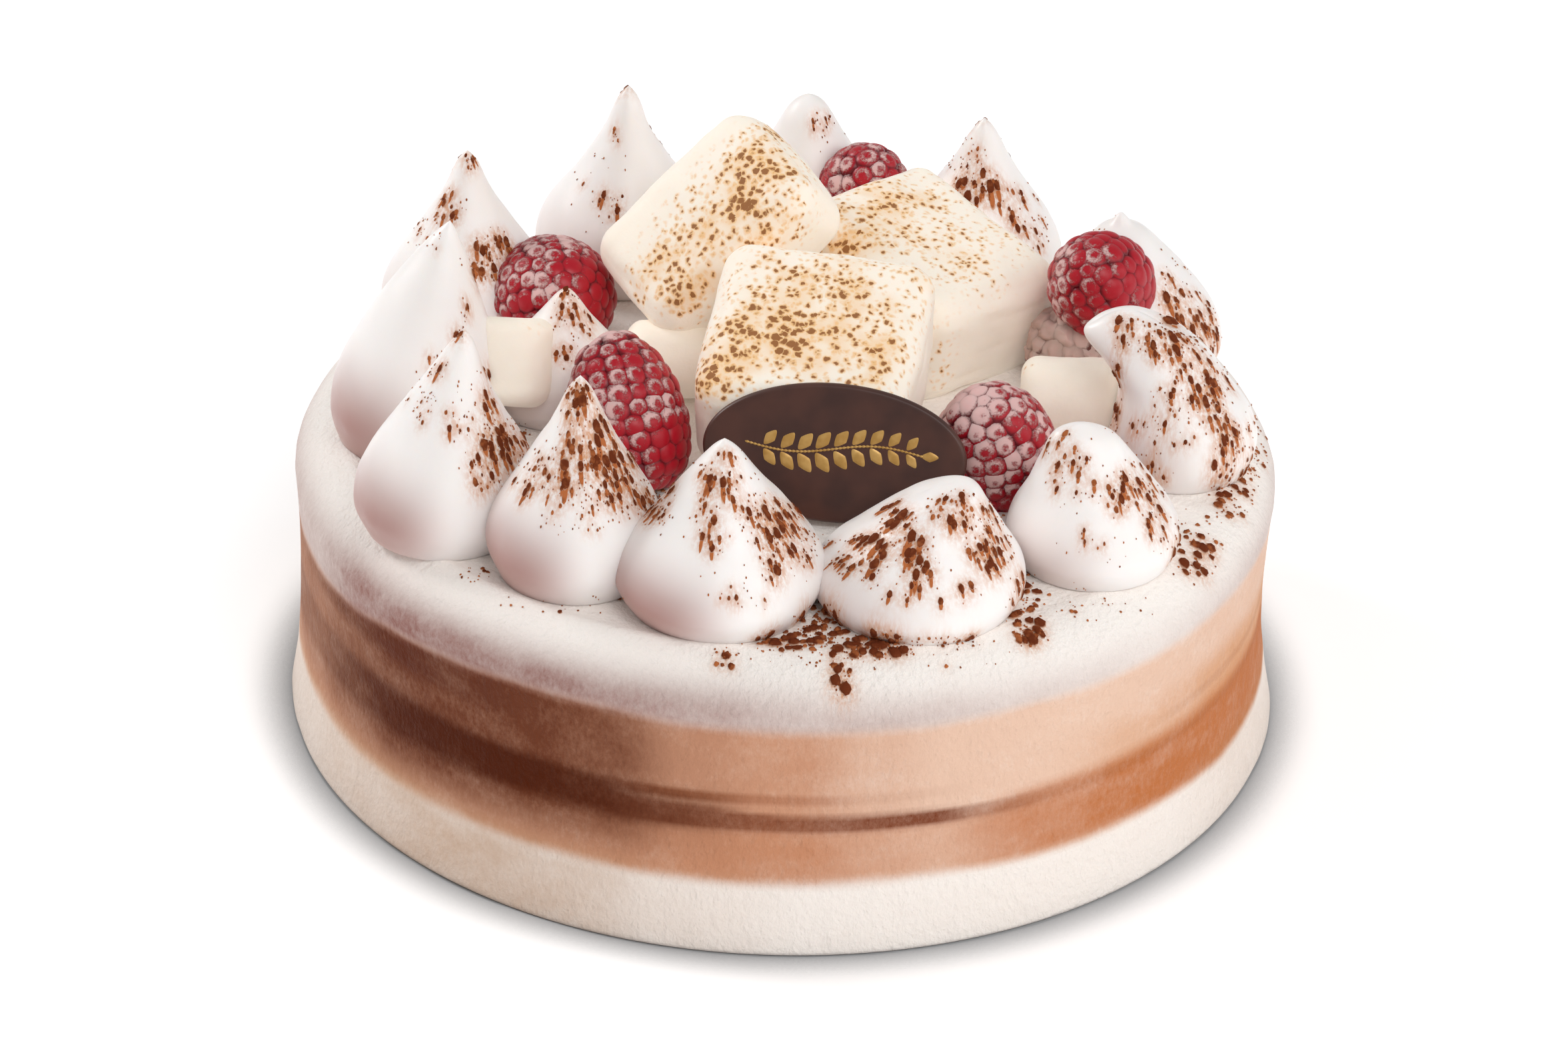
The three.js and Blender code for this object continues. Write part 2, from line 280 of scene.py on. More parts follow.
STAIN, take, give = group(
    "cocoa stain",
    [("Vector", "Vector", None), ("Clean Color", "Color", (1, 1, 1, 1)), ("Cocoa", "Float", 0.0)],
    [("Color", "Color")],
)
drawn_out = stretch(STAIN, take["Vector"], (1.7, 1.7, 0.45))
streaky = rise(STAIN, clouds(STAIN, drawn_out, 1.0, 4.0, 0.65), 0.34, 0.64, 0.16, 1.0)
soft_stain = sums(STAIN, "MULTIPLY", take["Cocoa"], streaky)
feed(STAIN, give, {"Color": mix(STAIN, soft_stain, take["Clean Color"], STAIN_TAN)})

# %% [markdown]
# A torch chars marshmallow in small pits: a dark brown middle about 1 mm wide, a golden halo, and
# creamy white between. Scattered cells from a Voronoi texture give such pits their even but
# never regular spacing. The cells fill space, so the pits stay round on every face, and a noise
# makes them waver. A mesh number named toast says how strongly each place was torched, and the
# pits also sink a little through the height output.

# %% Node group: torch marks
CHAR_BROWN = rgb(134, 76, 24)
TOAST_GOLD = rgb(228, 172, 90)
PIT_SCALE = 0.8          # cells for each mm
PIT_WAVER = (1.3, 1.3, 1.3)   # mm, before the noise takes its share

TORCH, take, give = group(
    "torch marks",
    [("Vector", "Vector", None), ("Clean Color", "Color", (1, 1, 1, 1)), ("Toast", "Float", 0.0)],
    [("Color", "Color"), ("Height", "Float")],
)
waver = add(TORCH, "ShaderNodeTexNoise", {"Vector": take["Vector"], "Scale": 0.8, "Detail": 2.0})
waver = vectors(TORCH, "SUBTRACT", waver.outputs["Color"], (0.5, 0.5, 0.5))
wavy = vectors(TORCH, "ADD", take["Vector"], stretch(TORCH, waver, PIT_WAVER))
pits = add(TORCH, "ShaderNodeTexVoronoi", {"Vector": wavy, "Scale": PIT_SCALE})
luck = add(TORCH, "ShaderNodeSeparateColor", {"Color": pits.outputs["Color"]}).outputs[0]
patchy = clouds(TORCH, take["Vector"], 0.16, 2.0)
heat = sums(TORCH, "MULTIPLY", take["Toast"], rise(TORCH, patchy, 0.3, 0.65, 0.6, 1.15))
pit_size = sums(TORCH, "MULTIPLY", heat, rise(TORCH, luck, 0.0, 1.0, 0.3, 0.52))
inside = sums(TORCH, "SUBTRACT", pit_size, pits.outputs["Distance"])
halo = sums(TORCH, "MULTIPLY", rise(TORCH, inside, -0.34, 0.03), rise(TORCH, heat, 0.02, 0.5))
core = sums(TORCH, "MULTIPLY", rise(TORCH, inside, -0.04, 0.14), rise(TORCH, heat, 0.05, 0.3))
toasted = mix(TORCH, rise(TORCH, heat, 0.35, 1.2, 0.0, 0.45), take["Clean Color"], TOAST_GOLD)
toasted = mix(TORCH, sums(TORCH, "MULTIPLY", halo, 0.66), toasted, TOAST_GOLD)
toasted = mix(TORCH, sums(TORCH, "MULTIPLY", core, 0.9), toasted, CHAR_BROWN)
feed(TORCH, give, {"Color": toasted, "Height": sums(TORCH, "MULTIPLY", core, -1.0)})

# %% [markdown]
# The raspberries come out of the freezer. Frost sits on them as a whitish pink granular skin
# that is thick on some drupelets and gone from others, so the berry's red shows through in
# patches. The frost is a mask made from a grain texture and a mesh number named frost.

# %% Node group: frost
FROST, take, give = group(
    "frost",
    [("Vector", "Vector", None), ("Fruit Color", "Color", (1, 1, 1, 1)),
     ("Frost Color", "Color", (1, 1, 1, 1)), ("Frost", "Float", 0.5), ("Crystal Scale", "Float", 1.6)],
    [("Color", "Color"), ("Frosted", "Float")],
)
crystals = add(FROST, "ShaderNodeTexNoise", {"Vector": take["Vector"], "Scale": take["Crystal Scale"],
                                             "Detail": 4.0, "Roughness": 0.75, "Distortion": 0.3})
cover = sums(FROST, "ADD", take["Frost"], crystals.outputs["Fac"])
frosted = rise(FROST, cover, 0.84, 1.18)
whitened = mix(FROST, sums(FROST, "MULTIPLY", frosted, 0.9), take["Fruit Color"], take["Frost Color"])
feed(FROST, give, {"Color": whitened, "Frosted": frosted})

for made in bpy.data.node_groups:
    print("group", made.name, "with", len(made.nodes), "nodes")

# %% [markdown]
# Nearly every piece here is turned: a potter's wheel shape that is then pulled out of round. One
# helper builds such a closed skin from a rule that gives a point for each height share and
# angle, ring by ring, with a single point at both ends.

# %% Helpers for meshes
PIECES = {}


def ring_faces(low, high, around):
    """Four-sided faces between two rings, each given by the number of its first point."""
    return [(low + k, low + (k + 1) % around, high + (k + 1) % around, high + k) for k in range(around)]


def turned(rings, around, point):
    """Points and faces of a closed skin. point(up, angle) gives a place in mm, for up from 0 to 1."""
    points = [point(0.0, 0.0)]
    for ring in range(rings):
        up = (ring + 0.5) / rings
        points += [point(up, 2 * math.pi * k / around) for k in range(around)]
    points.append(point(1.0, 0.0))
    last = len(points) - 1
    faces = [(0, 1 + (k + 1) % around, 1 + k) for k in range(around)]
    for ring in range(rings - 1):
        low = 1 + ring * around
        faces += ring_faces(low, low + around, around)
    low = 1 + (rings - 1) * around
    faces += [(low + k, low + (k + 1) % around, last) for k in range(around)]
    return np.array(points, float), faces


def piece(name, points, faces, material, node=None, place=None):
    """A smooth mesh from points in mm. It rides with the cake, and replaces the node that is named."""
    mesh = bpy.data.meshes.new(name)
    mesh.from_pydata([tuple(p) for p in np.asarray(points) * MM], [], faces)
    mesh.update()
    mesh.shade_smooth()
    mesh.materials.append(material)
    made = bpy.data.objects.new(name, mesh)
    bpy.context.scene.collection.objects.link(made)
    if place is not None:
        made.matrix_world = place
    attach(made, "root")
    if node:
        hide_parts(node)
    PIECES[name] = made
    return made


def paint(made, name, values):
    """Gives a mesh one number per point, which its material reads under the same name."""
    layer = made.data.attributes.new(name, "FLOAT", "POINT")
    layer.data.foreach_set("value", np.asarray(values, np.float32))


def placed(at, turn=(0, 0, 0)):
    """Where a topping stands: its middle in mm, and its turns about X, Y and Z in degrees."""
    spin = Euler([math.radians(a) for a in turn], "XYZ").to_matrix().to_4x4()
    return Matrix.Translation(Vector(at) * MM) @ spin


def curve_through(points, t):
    """A smooth curve through its points, from the first at t = 0 to the last at t = 1."""
    spot = t * (len(points) - 1)
    at = min(int(spot), len(points) - 2)
    share = spot - at
    before, start, end, after = (points[max(0, min(len(points) - 1, at + k))] for k in (-1, 0, 1, 2))
    found = []
    for a, b, c, d in zip(before, start, end, after):
        into, out = (c - a) / 2, (d - b) / 2
        found.append(((2 * b - 2 * c + into + out) * share + (3 * c - 3 * b - 2 * into - out)) * share ** 2
                     + into * share + b)
    return found


def ripples(point, size, height, seed=0.0):
    """A smooth random rise and fall of the given height, with waves of about the given size in mm."""
    return height * noise.noise(Vector(point) / size + Vector((seed, seed * 1.7, -seed)))


# %% [markdown]
# The cake is a disc of cream: a flat top, a soft rounded rim, a slight waist and a foot that
# flares. The spread cream wanders in and out by a fraction of a millimetre, and the spreader
# left a low ridge where the top turns down, plainest on the left. The outline is walked from the
# middle of the underside to the middle of the top, with closer steps at the ridge, and turned
# round.

# %% Cake: outline and mesh
CAKE_WAVE = 0.3
CAKE_AROUND = 420
SIDE_STEPS = 56
RIM_STEPS = 14
TOP_SHARES = np.concatenate((np.linspace(0.993, 0.94, 9), np.linspace(0.92, 0.02, 38)))
FOOT_LIP = 0.8
SIDE_BENDS = ((WAIST_RADIUS + 0.6, 9), (WAIST_RADIUS - 0.5, 24))   # they draw the side in to its waist
SHOULDER = 1.2         # above 1 the rounded edge is flatter in its middle and turns faster at its ends
RIDGE_RADIUS = 70.0
RIDGE_WIDE = 1.3
RIDGE_HIGH = 0.45
RIDGE_MIDDLE = math.radians(215)


def bezier(a, b, c, d, t):
    s = 1 - t
    return [s ** 3 * p + 3 * s * s * t * q + 3 * s * t * t * r + t ** 3 * u for p, q, r, u in zip(a, b, c, d)]


def cake_outline():
    """Radius and height along the cake's outline, from the underside over the side to the top."""
    steps = [(FOOT_RADIUS * share, 0) for share in (0.3, 0.7, 0.95)]
    steps += [(FOOT_RADIUS - FOOT_LIP, 0), (FOOT_RADIUS - 0.2, 0.25), (FOOT_RADIUS, FOOT_LIP)]
    side = ((FOOT_RADIUS, FOOT_LIP), *SIDE_BENDS, (RIM_RADIUS, RIM_HEIGHT))
    steps += [bezier(*side, k / SIDE_STEPS) for k in range(1, SIDE_STEPS + 1)]
    for k in range(1, RIM_STEPS + 1):
        bend = k / RIM_STEPS * math.pi / 2
        steps.append((FLAT_RADIUS + (RIM_RADIUS - FLAT_RADIUS) * math.cos(bend) ** SHOULDER,
                      RIM_HEIGHT + (CAKE_TOP - RIM_HEIGHT) * math.sin(bend) ** SHOULDER))
    return steps + [(FLAT_RADIUS * share, CAKE_TOP) for share in TOP_SHARES]


OUTLINE = cake_outline()


def cake_point(up, angle):
    if up in (0.0, 1.0):
        return (0, 0, CAKE_TOP * up)
    radius, height = OUTLINE[int(up * len(OUTLINE))]
    wave = CAKE_WAVE * (math.sin(3 * angle + 4.1) + 0.5 * math.sin(5 * angle + 5.2))
    radius *= 1 + wave / FOOT_RADIUS * float(smooth(2, 20, height))
    spot = (radius * math.cos(angle), radius * math.sin(angle), height)
    if height < FOOT_LIP:
        return spot
    off = ripples(spot, 22, 0.3) + ripples(spot, 6, 0.12, 3)
    on_top = float(smooth(RIM_HEIGHT, CAKE_TOP, height))
    push = 1 + off * (1 - on_top) / radius
    plainness = 0.5 + 0.5 * math.cos(angle - RIDGE_MIDDLE)
    ridge = RIDGE_HIGH * math.exp(-((radius - RIDGE_RADIUS) / RIDGE_WIDE) ** 2) * plainness
    return (spot[0] * push, spot[1] * push, height + (off * 0.6 + ridge) * on_top)


cake_points, cake_faces = turned(len(OUTLINE), CAKE_AROUND, cake_point)
print("cake mesh:", len(cake_points), "points")

# %% [markdown]
# Round the side runs a brown band, sprayed on in passes, each in one colour. The left side took
# the most: a dark core, a brown above it and a thin redder strip under the band's upper edge. At
# the front and on the right a peach ground carries an orange tan and one darker line. A mauve
# veil drifts up over the rim: partly a dusting, and partly painted shade, strongest on the shaded
# left. Some overspray dulls the cream below. A pass is written as its lower edge, its upper edge
# and its strength, each in steps of degrees from the darkest side round to the front and the
# right, and how soft both edges are in mm. Every point of the mesh gets a number for each pass.
# The unseen back mirrors the front.

# %% Cake: the sprayed passes
DARK_SIDE = 215.0        # direction of the band's darkest part, in degrees from +X

BAND_TOP = ((-15, 36.1), (-5, 36.4), (5, 38.3), (15, 39.2), (25, 40.2), (35, 40.2), (45, 39.4), (57, 39.0),
            (70, 39.2), (85, 39.8), (120, 40.3))

SPRAY_PASSES = {
    "peach": dict(
        color=(234, 200, 178), low=((0, 11), (25, 12.5), (57, 13), (100, 11.5), (120, 10.5)), high=BAND_TOP,
        soft=(1.3, 1.4), strength=((0, 1),)),
    "warm tan": dict(
        color=(202, 148, 118), low=((0, 12),), high=BAND_TOP, soft=(1.5, 1.6),
        strength=((45, 1), (57, 0.95), (66, 0.45), (74, 0.15), (90, 0.1), (120, 0.2))),
    "orange tan": dict(
        color=(190, 114, 66), low=((57, 13), (100, 12), (120, 10.5)),
        high=((57, 21.5), (75, 22.5), (85, 24), (120, 24.5)), soft=(1.2, 1.6),
        strength=((20, 0), (57, 0.3), (72, 0.3), (85, 0.72), (100, 0.92), (120, 1))),
    "right glow": dict(
        color=(212, 152, 108), low=((85, 23),), high=((85, 31),), soft=(2, 3),
        strength=((85, 0), (100, 0.4), (120, 0.75))),
    "dark line": dict(
        color=(116, 50, 18), low=((0, 21.0),), high=((45, 25), (57, 24), (100, 23)), soft=(0.6, 0.5),
        strength=((20, 0), (40, 0.7), (57, 0.75), (72, 0.85), (80, 0.4), (90, 0.15), (130, 0.1))),
    "faint line": dict(
        color=(160, 98, 66), low=((0, 26.1),), high=((0, 27.6),), soft=(0.5, 0.5),
        strength=((30, 0), (42, 1), (57, 0.5), (66, 0.15), (80, 0), (100, 0), (110, 0.2))),
    "brown": dict(
        color=(112, 60, 38), low=((0, 14.4), (30, 16)), high=BAND_TOP, soft=(5, 0.9),
        strength=((-60, 0.4), (-15, 0.5), (-5, 0.75), (5, 0.95), (25, 0.95), (36, 0.8), (45, 0.2), (55, 0))),
    "dark core": dict(
        color=(80, 30, 6), low=((0, 19.2), (30, 20.8)), high=((0, 27.6),), soft=(1.8, 1.2),
        strength=((-60, 0.25), (-15, 0.3), (-5, 0.55), (5, 0.9), (15, 1), (33, 0.92), (42, 0.5), (54, 0))),
    "red strip": dict(
        color=(86, 34, 16), low=((0, 33),), high=((-15, 35.6), (5, 37.9), (15, 38.8), (25, 39.8)),
        soft=(1.2, 0.5), strength=((-30, 0), (-5, 0.4), (8, 0.6), (18, 0.4), (26, 0.1), (34, 0))),
    # partly a mauve dusting and partly painted shade, strongest on the shaded left side
    "mauve veil": dict(
        color=(140, 84, 74), low=BAND_TOP, high=((45, 45.4), (70, 44.2)), soft=(1.2, 3.4),
        strength=((-60, 0.4), (-15, 0.5), (0, 0.8), (25, 0.82), (35, 0.76), (45, 0.64), (57, 0.48),
                  (70, 0.46), (85, 0.3), (100, 0.26), (130, 0.4))),
    "overspray": dict(
        color=(190, 148, 112), low=((0, -8),), high=((0, 12.5),), soft=(1, 3),
        strength=((-20, 0.35), (0, 0.5), (15, 0.62), (30, 0.55), (42, 0.25), (60, 0.08), (105, 0.1),
                  (120, 0.25))),
}


def round_cake(steps, turn):
    """A value that changes smoothly round the cake, from (degrees from the dark side, value) steps."""
    marks, values = zip(*sorted(steps))
    after = np.searchsorted(marks, turn).clip(1, max(1, len(marks) - 1))
    if len(marks) == 1:
        return np.full(len(turn), float(values[0]))
    marks, values = np.array(marks, float), np.array(values, float)
    share = smooth(0, 1, (turn - marks[after - 1]) / (marks[after] - marks[after - 1]))
    return values[after - 1] + (values[after] - values[after - 1]) * share


around = np.degrees(np.arctan2(cake_points[:, 1], cake_points[:, 0]))
turn = 360 - DARK_SIDE - np.abs(around)
heights = cake_points[:, 2]
sprays = {}
for name, run in SPRAY_PASSES.items():
    below, above = run["soft"]
    low, high = round_cake(run["low"], turn), round_cake(run["high"], turn)
    sprays[name] = (round_cake(run["strength"], turn) * smooth(-below, below, heights - low)
                    * smooth(above, -above, heights - high))
print("sprayed", len(sprays), "passes, each over", [int((s > 0.1).sum()) for s in sprays.values()], "points")

# %% [markdown]
# The cream itself is an off-white with a faint rosy cast, satin, and a little light soaks into
# it. The passes go on one after the other. A fine noise breaks up their edges into spray grain,
# and the same cream shows a close grain of its own where the spreader dragged over it.

# %% Cake: cream with the sprayed band
CREAM = rgb(250, 243, 237)
CREAM_DEPTH = 4.0               # mm
CREAM_GLOW = (1.0, 0.75, 0.6)   # red light travels furthest inside cream
SPRAY_GRAIN = 0.7

cream_material, tree, shader, at = finish_material("spread cream with a sprayed band")
fine = clouds(tree, stretch(tree, at, (1, 1, 0.6)), 1.1, 5.0, 0.8)
drift = clouds(tree, stretch(tree, at, (1, 1, 2)), 0.09, 3.0)
loose = sums(tree, "ADD", sums(tree, "SUBTRACT", fine, 0.5), sums(tree, "SUBTRACT", drift, 0.5))
loose = sums(tree, "MULTIPLY", loose, SPRAY_GRAIN)
coat = CREAM
for name, run in SPRAY_PASSES.items():
    strength = painted(tree, name)
    broken = sums(tree, "ADD", strength, sums(tree, "MULTIPLY", loose, strength), clamp=True)
    coat = mix(tree, broken, coat, rgb(*run["color"]))
stain = use(tree, STAIN, {"Vector": at, "Clean Color": coat, "Cocoa": painted(tree, "cocoa")})
dragged = use(tree, UNEVEN, {"Vector": stretch(tree, at, (1.2, 1.2, 0.8)), "Ripple Scale": 0.4,
                             "Grain Scale": 1.0, "Grain Share": 1.2})
feed(tree, shader, {"Base Color": stain["Color"], "Specular IOR Level": 0.06,
                    "Roughness": rise(tree, dragged["Cloud"], 0.3, 0.7, 0.5, 0.62)})
relief(tree, shader, dragged["Height"], 0.7, 0.5)
let_light_in(shader, 0.05, CREAM_GLOW, CREAM_DEPTH)

cake = piece("cream_cake", cake_points, cake_faces, cream_material, "cake_body")
for name, strength in sprays.items():
    paint(cake, name, strength)

# %% [markdown]
# A kiss is piped by holding a round nozzle still and then lifting it: a round belly, hollow
# sides and a tip that leans where the nozzle left. The same outline serves for all thirteen. A
# fuller one has its hollow sides filled, and a dragged one is drawn out into a crest.

# %% Kisses: shape
KISS_OUTLINE = [(0.86, 0), (1, 0.15), (0.93, 0.32), (0.63, 0.54), (0.34, 0.75), (0.13, 0.93), (0, 1)]
KISS_LOBE = 0.025
CREST_FROM = 0.45        # share of its height where a dragged kiss begins to be drawn out
CREST_DROOP = 0.12       # how much lower a crest's ends hang, for each square mm of reach
TIP_FROM = 0.7           # share of its height where a full kiss begins to narrow to its tip
SPIKE_WIDE = 1.3
KISS_RINGS, KISS_AROUND = 64, 96

KISSES = {
    "kiss_01": dict(angle=260, reach=55.8, radius=16, height=27.7, lean=0.3, fullness=1.08),
    "kiss_02": dict(angle=291, reach=56.6, radius=16.3, height=19.3, lean=2.3, crest=3, rise=0.35,
                    fullness=1.6, domed=True),
    "kiss_03": dict(angle=320.5, reach=61.2, radius=13.3, height=22.7, lean=-2.6, crest=4,
                    fullness=1.4, domed=True),
    "kiss_04": dict(angle=351.8, reach=61.8, radius=13, height=26.5, lean=-8.8, crest=9,
                    fullness=1.6, domed=True, tuck=6),
    "kiss_05": dict(angle=23.6, reach=59.9, radius=15, height=24.6, lean=-2.4, fullness=1.6,
                    domed=True, spike=1.6),
    "kiss_06": dict(angle=58.3, reach=58.2, radius=13.8, height=29.6, lean=0.3),
    "kiss_07": dict(angle=87.9, reach=56.6, radius=13, height=29.5, fullness=1.4, domed=True),
    "kiss_08": dict(angle=119.3, reach=57.4, radius=14.6, height=33.5, lean=0.7, fullness=0.85),
    "kiss_09": dict(angle=150.8, reach=60.5, radius=13.7, height=31.5, lean=0.2, fullness=0.95),
    "kiss_10": dict(angle=187, reach=59.2, radius=13.5, height=38, lean=5.6, fullness=1.35),
    "kiss_11": dict(angle=213.5, reach=63, radius=14.1, height=34, lean=3.2),
    "kiss_12": dict(angle=236, reach=57, radius=13.5, height=33.5, lean=0.6),
    "kiss_inner": dict(angle=173, reach=36.8, radius=12.3, height=20.5, lean=1),
}


def kiss_rule(radius, height, seed, lean=0, crest=0, rise=0, fullness=1, domed=False, spike=0, tuck=0,
              **place):
    """The rule that gives a kiss's points, standing on its base at the origin."""
    def point(up, angle):
        share, level = curve_through(KISS_OUTLINE, up)
        share = 0 if up == 0.0 else max(share, 0)
        narrowed = 0 if domed else float(smooth(TIP_FROM, 1, level))
        reach = share ** (1 / (1 + (fullness - 1) * (1 - narrowed))) * radius
        lobe = 1 + KISS_LOBE * math.sin(2 * angle) * math.sin(math.pi * level)
        off_axis = float(smooth(0, 0.5, reach))
        drawn = crest / 2 * float(smooth(CREST_FROM, 1, level)) * math.cos(angle) * off_axis
        tucked = tuck / 2 * (1 - math.cos(angle)) * math.sin(math.pi * level) * (1 - level) * off_axis
        x = reach * math.cos(angle) * lobe + drawn + tucked
        y = reach * math.sin(angle) * lobe
        z = level * height * (1 + rise * (x / radius) * level * level)
        z += spike * math.exp(-(reach / SPIKE_WIDE) ** 2) * level ** 4 - CREST_DROOP * drawn * drawn
        spot = Vector((x + lean * level * level, y, z))
        soft = float(smooth(0, 2, z)) * float(smooth(0, 3, reach))
        off = (ripples(spot, 9, 0.25, seed) + ripples(spot, 3.2, 0.09, seed + 5)) * soft
        return spot + Vector((math.cos(angle), math.sin(angle), 0.3)) * off
    return point


# %% [markdown]
# Piped cream is wetter than spread cream. It has a soft sheen, so the roughness is lower, and
# more light soaks in. The cocoa stain comes from the same group as on the cake. Low on their
# left, where they face away from the lamps, the bellies get a painted mauve shade, most on the
# kisses of the left-hand side. A mesh number for this painted shade says where.

# %% Kisses: finish and making
PIPED_CREAM = rgb(249, 243, 240)
# painted shade: a mauve laid where the bellies turn low and to the left, away from the lamps; full on the
# kisses listed below, faint on the rest
BELLY_SHADE_MAUVE = rgb(164, 112, 102)
SHADED_WAY = (-0.66, -0.5, 0)
SHADED_KISSES = ("kiss_10", "kiss_11", "kiss_12", "kiss_01")
FAINT_SHADE = 0.35

kiss_material, tree, shader, at = finish_material("piped cream dusted with cocoa")
sheen = use(tree, UNEVEN, {"Vector": at, "Ripple Scale": 0.22, "Grain Scale": 1.6, "Grain Share": 0.18})
# the painted belly shade, mixed into the cream's colour
painted_belly_shade = sums(tree, "MULTIPLY", painted(tree, "painted_belly_shade"), 0.9)
stain = use(tree, STAIN, {"Vector": at, "Clean Color": mix(tree, painted_belly_shade, PIPED_CREAM, BELLY_SHADE_MAUVE),
                          "Cocoa": painted(tree, "cocoa")})
feed(tree, shader, {"Base Color": stain["Color"],
                    "Roughness": rise(tree, sheen["Cloud"], 0.3, 0.7, 0.3, 0.46)})
relief(tree, shader, sheen["Height"], 0.3, 0.3)
let_light_in(shader, 0.25, CREAM_GLOW, CREAM_DEPTH)

for number, (name, entry) in enumerate(KISSES.items()):
    points, faces = turned(KISS_RINGS, KISS_AROUND, kiss_rule(seed=number * 2.3, **entry))
    direction = math.radians(entry["angle"])
    at_mm = (entry["reach"] * math.cos(direction), entry["reach"] * math.sin(direction), CAKE_TOP)
    made = piece("piped_" + name, points, faces, kiss_material, name, placed(at_mm))
    # where the painted belly shade lies: turned to the lower left, and low down
    turned_away = smooth(0.3, 0.85, points @ np.array(SHADED_WAY) / entry["radius"])
    low_down = smooth(0.55, 0.15, points[:, 2] / entry["height"])
    share = 1 if name in SHADED_KISSES else FAINT_SHADE
    paint(made, "painted_belly_shade", turned_away * low_down * share)
print(len(KISSES), "kisses with", len(points), "points each")

# %% [markdown]
# The large marshmallows are cut slabs: blocks with soft edges, faces that swell, and skins that
# wrinkle a little. A cube's surface is divided finely, each point is pulled to the rounded
# block, and a few ripples and creases are added. Their torched face is the block's own top.

# %% Large marshmallows: shape
BLOCK_ROUNDING = 4.2
BLOCK_SWELL = 0.9
BLOCK_STEPS = 44

BLOCKS = {
    "front": dict(at=(4, -9, 63.8), turn=(21, 2, -9), size=(33, 33, 21)),
    "right": dict(at=(20.8, 27.3, 59.6), turn=(11, 2.5, 43), size=(29.5, 36, 19.5)),
    "left": dict(at=(-11.7, 20.5, 71.2), turn=(44, 16.5, -56), size=(23.4, 33.4, 17.5)),
}


def block_skin(size, seed):
    """Points and faces of a soft block: the six sides of a cube as grids, joined along their edges."""
    steps = np.linspace(-1, 1, BLOCK_STEPS + 1)
    index, points, faces = {}, [], []

    def corner(spot):
        key = tuple(np.round(spot, 5))
        if key not in index:
            index[key] = len(points)
            points.append(soft_block_point(np.array(spot, float), size, seed))
        return index[key]

    for axis in range(3):
        for sign in (-1, 1):
            across, along = (axis + 1) % 3, (axis + 2) % 3
            for a in range(BLOCK_STEPS):
                for b in range(BLOCK_STEPS):
                    loop = []
                    for da, db in ((0, 0), (1, 0), (1, 1), (0, 1)):
                        spot = [0.0, 0.0, 0.0]
                        spot[axis] = sign
                        spot[across] = steps[a + da]
                        spot[along] = steps[b + db]
                        loop.append(corner(spot))
                    faces.append(loop if sign > 0 else loop[::-1])
    return np.array(points), faces


def soft_block_point(unit, size, seed):
    """A point of the soft block, from a point on the surface of a cube that goes from -1 to 1."""
    half = np.array(size) / 2
    core = unit * half
    inner = np.clip(core, BLOCK_ROUNDING - half, half - BLOCK_ROUNDING)
    out = core - inner
    length = np.linalg.norm(out)
    out = out / length if length > 1e-6 else out
    swell = [BLOCK_SWELL * unit[k] * (1 - unit[k - 1] ** 2) * (1 - unit[k - 2] ** 2) for k in range(3)]
    spot = inner + out * BLOCK_ROUNDING + swell
    off = ripples(spot, 11, 0.5, seed) + ripples(spot, 3.5, 0.16, seed + 2)
    crease = max(0.0, noise.noise(Vector((spot[0] * 0.09, spot[1] * 0.09, spot[2] * 0.5 + seed)))) ** 2
    return spot + out * (off - 0.5 * crease)


# %% [markdown]
# Marshmallow is matt, powdery and slightly see-through. It is also given a faint glow of its own,
# a painted light that keeps its shaded faces pale. The same finish serves for the large and the
# mini ones, because the torch marks only show where a mesh says that it was torched.

# %% Marshmallow finish
PAINTED_GLOW = 0.12   # painted glow: the marshmallow gives off a little light of its own, so its shaded faces stay pale
MARSHMALLOW = rgb(244, 234, 220)


def marshmallow(name, ripple_scale, depth):
    material, tree, shader, at = finish_material(name)
    torch = use(tree, TORCH, {"Vector": at, "Clean Color": MARSHMALLOW, "Toast": painted(tree, "toast")})
    powder = use(tree, UNEVEN, {"Vector": at, "Ripple Scale": ripple_scale, "Grain Scale": 2.4,
                                "Grain Share": 0.35})
    # the emission is a painted glow in the marshmallow's own colours, torch marks included
    feed(tree, shader, {"Base Color": torch["Color"], "Emission Color": torch["Color"],
                        "Emission Strength": PAINTED_GLOW,
                        "Roughness": rise(tree, powder["Cloud"], 0.3, 0.7, 0.62, 0.8)})
    relief(tree, shader, sums(tree, "ADD", powder["Height"], torch["Height"]), 0.35, 0.35)
    let_light_in(shader, 0.3, (1.0, 0.7, 0.5), depth)
    return material


toasted_material = marshmallow("torched marshmallow", 0.3, 4.0)
mini_material = marshmallow("mini marshmallow", 0.4, 3.0)

for number, (side, entry) in enumerate(BLOCKS.items()):
    points, faces = block_skin(entry["size"], 7 + 5 * number)
    piece("torched_marshmallow_" + side, points, faces, toasted_material,
          "marshmallow_" + side, placed(entry["at"], entry["turn"]))
print("large marshmallow:", len(points), "points")

# %% [markdown]
# A mini marshmallow is a short barrel with soft ends, pressed a little out of round.

# %% Mini marshmallows
MINI_ROUNDING = 2.6

MINIS = {
    "left": dict(at=(-44, -6, 61.5), turn=(-30, 0, 0), radius=6.6, length=14, taper=0.05),
    "middle": dict(at=(-19, 7.2, 55.3), turn=(90, 12, 100), radius=6.5, length=13.5),
    "right": dict(at=(44.5, -1, 55.3), turn=(90, 0, 88), radius=6, length=15.5),
}


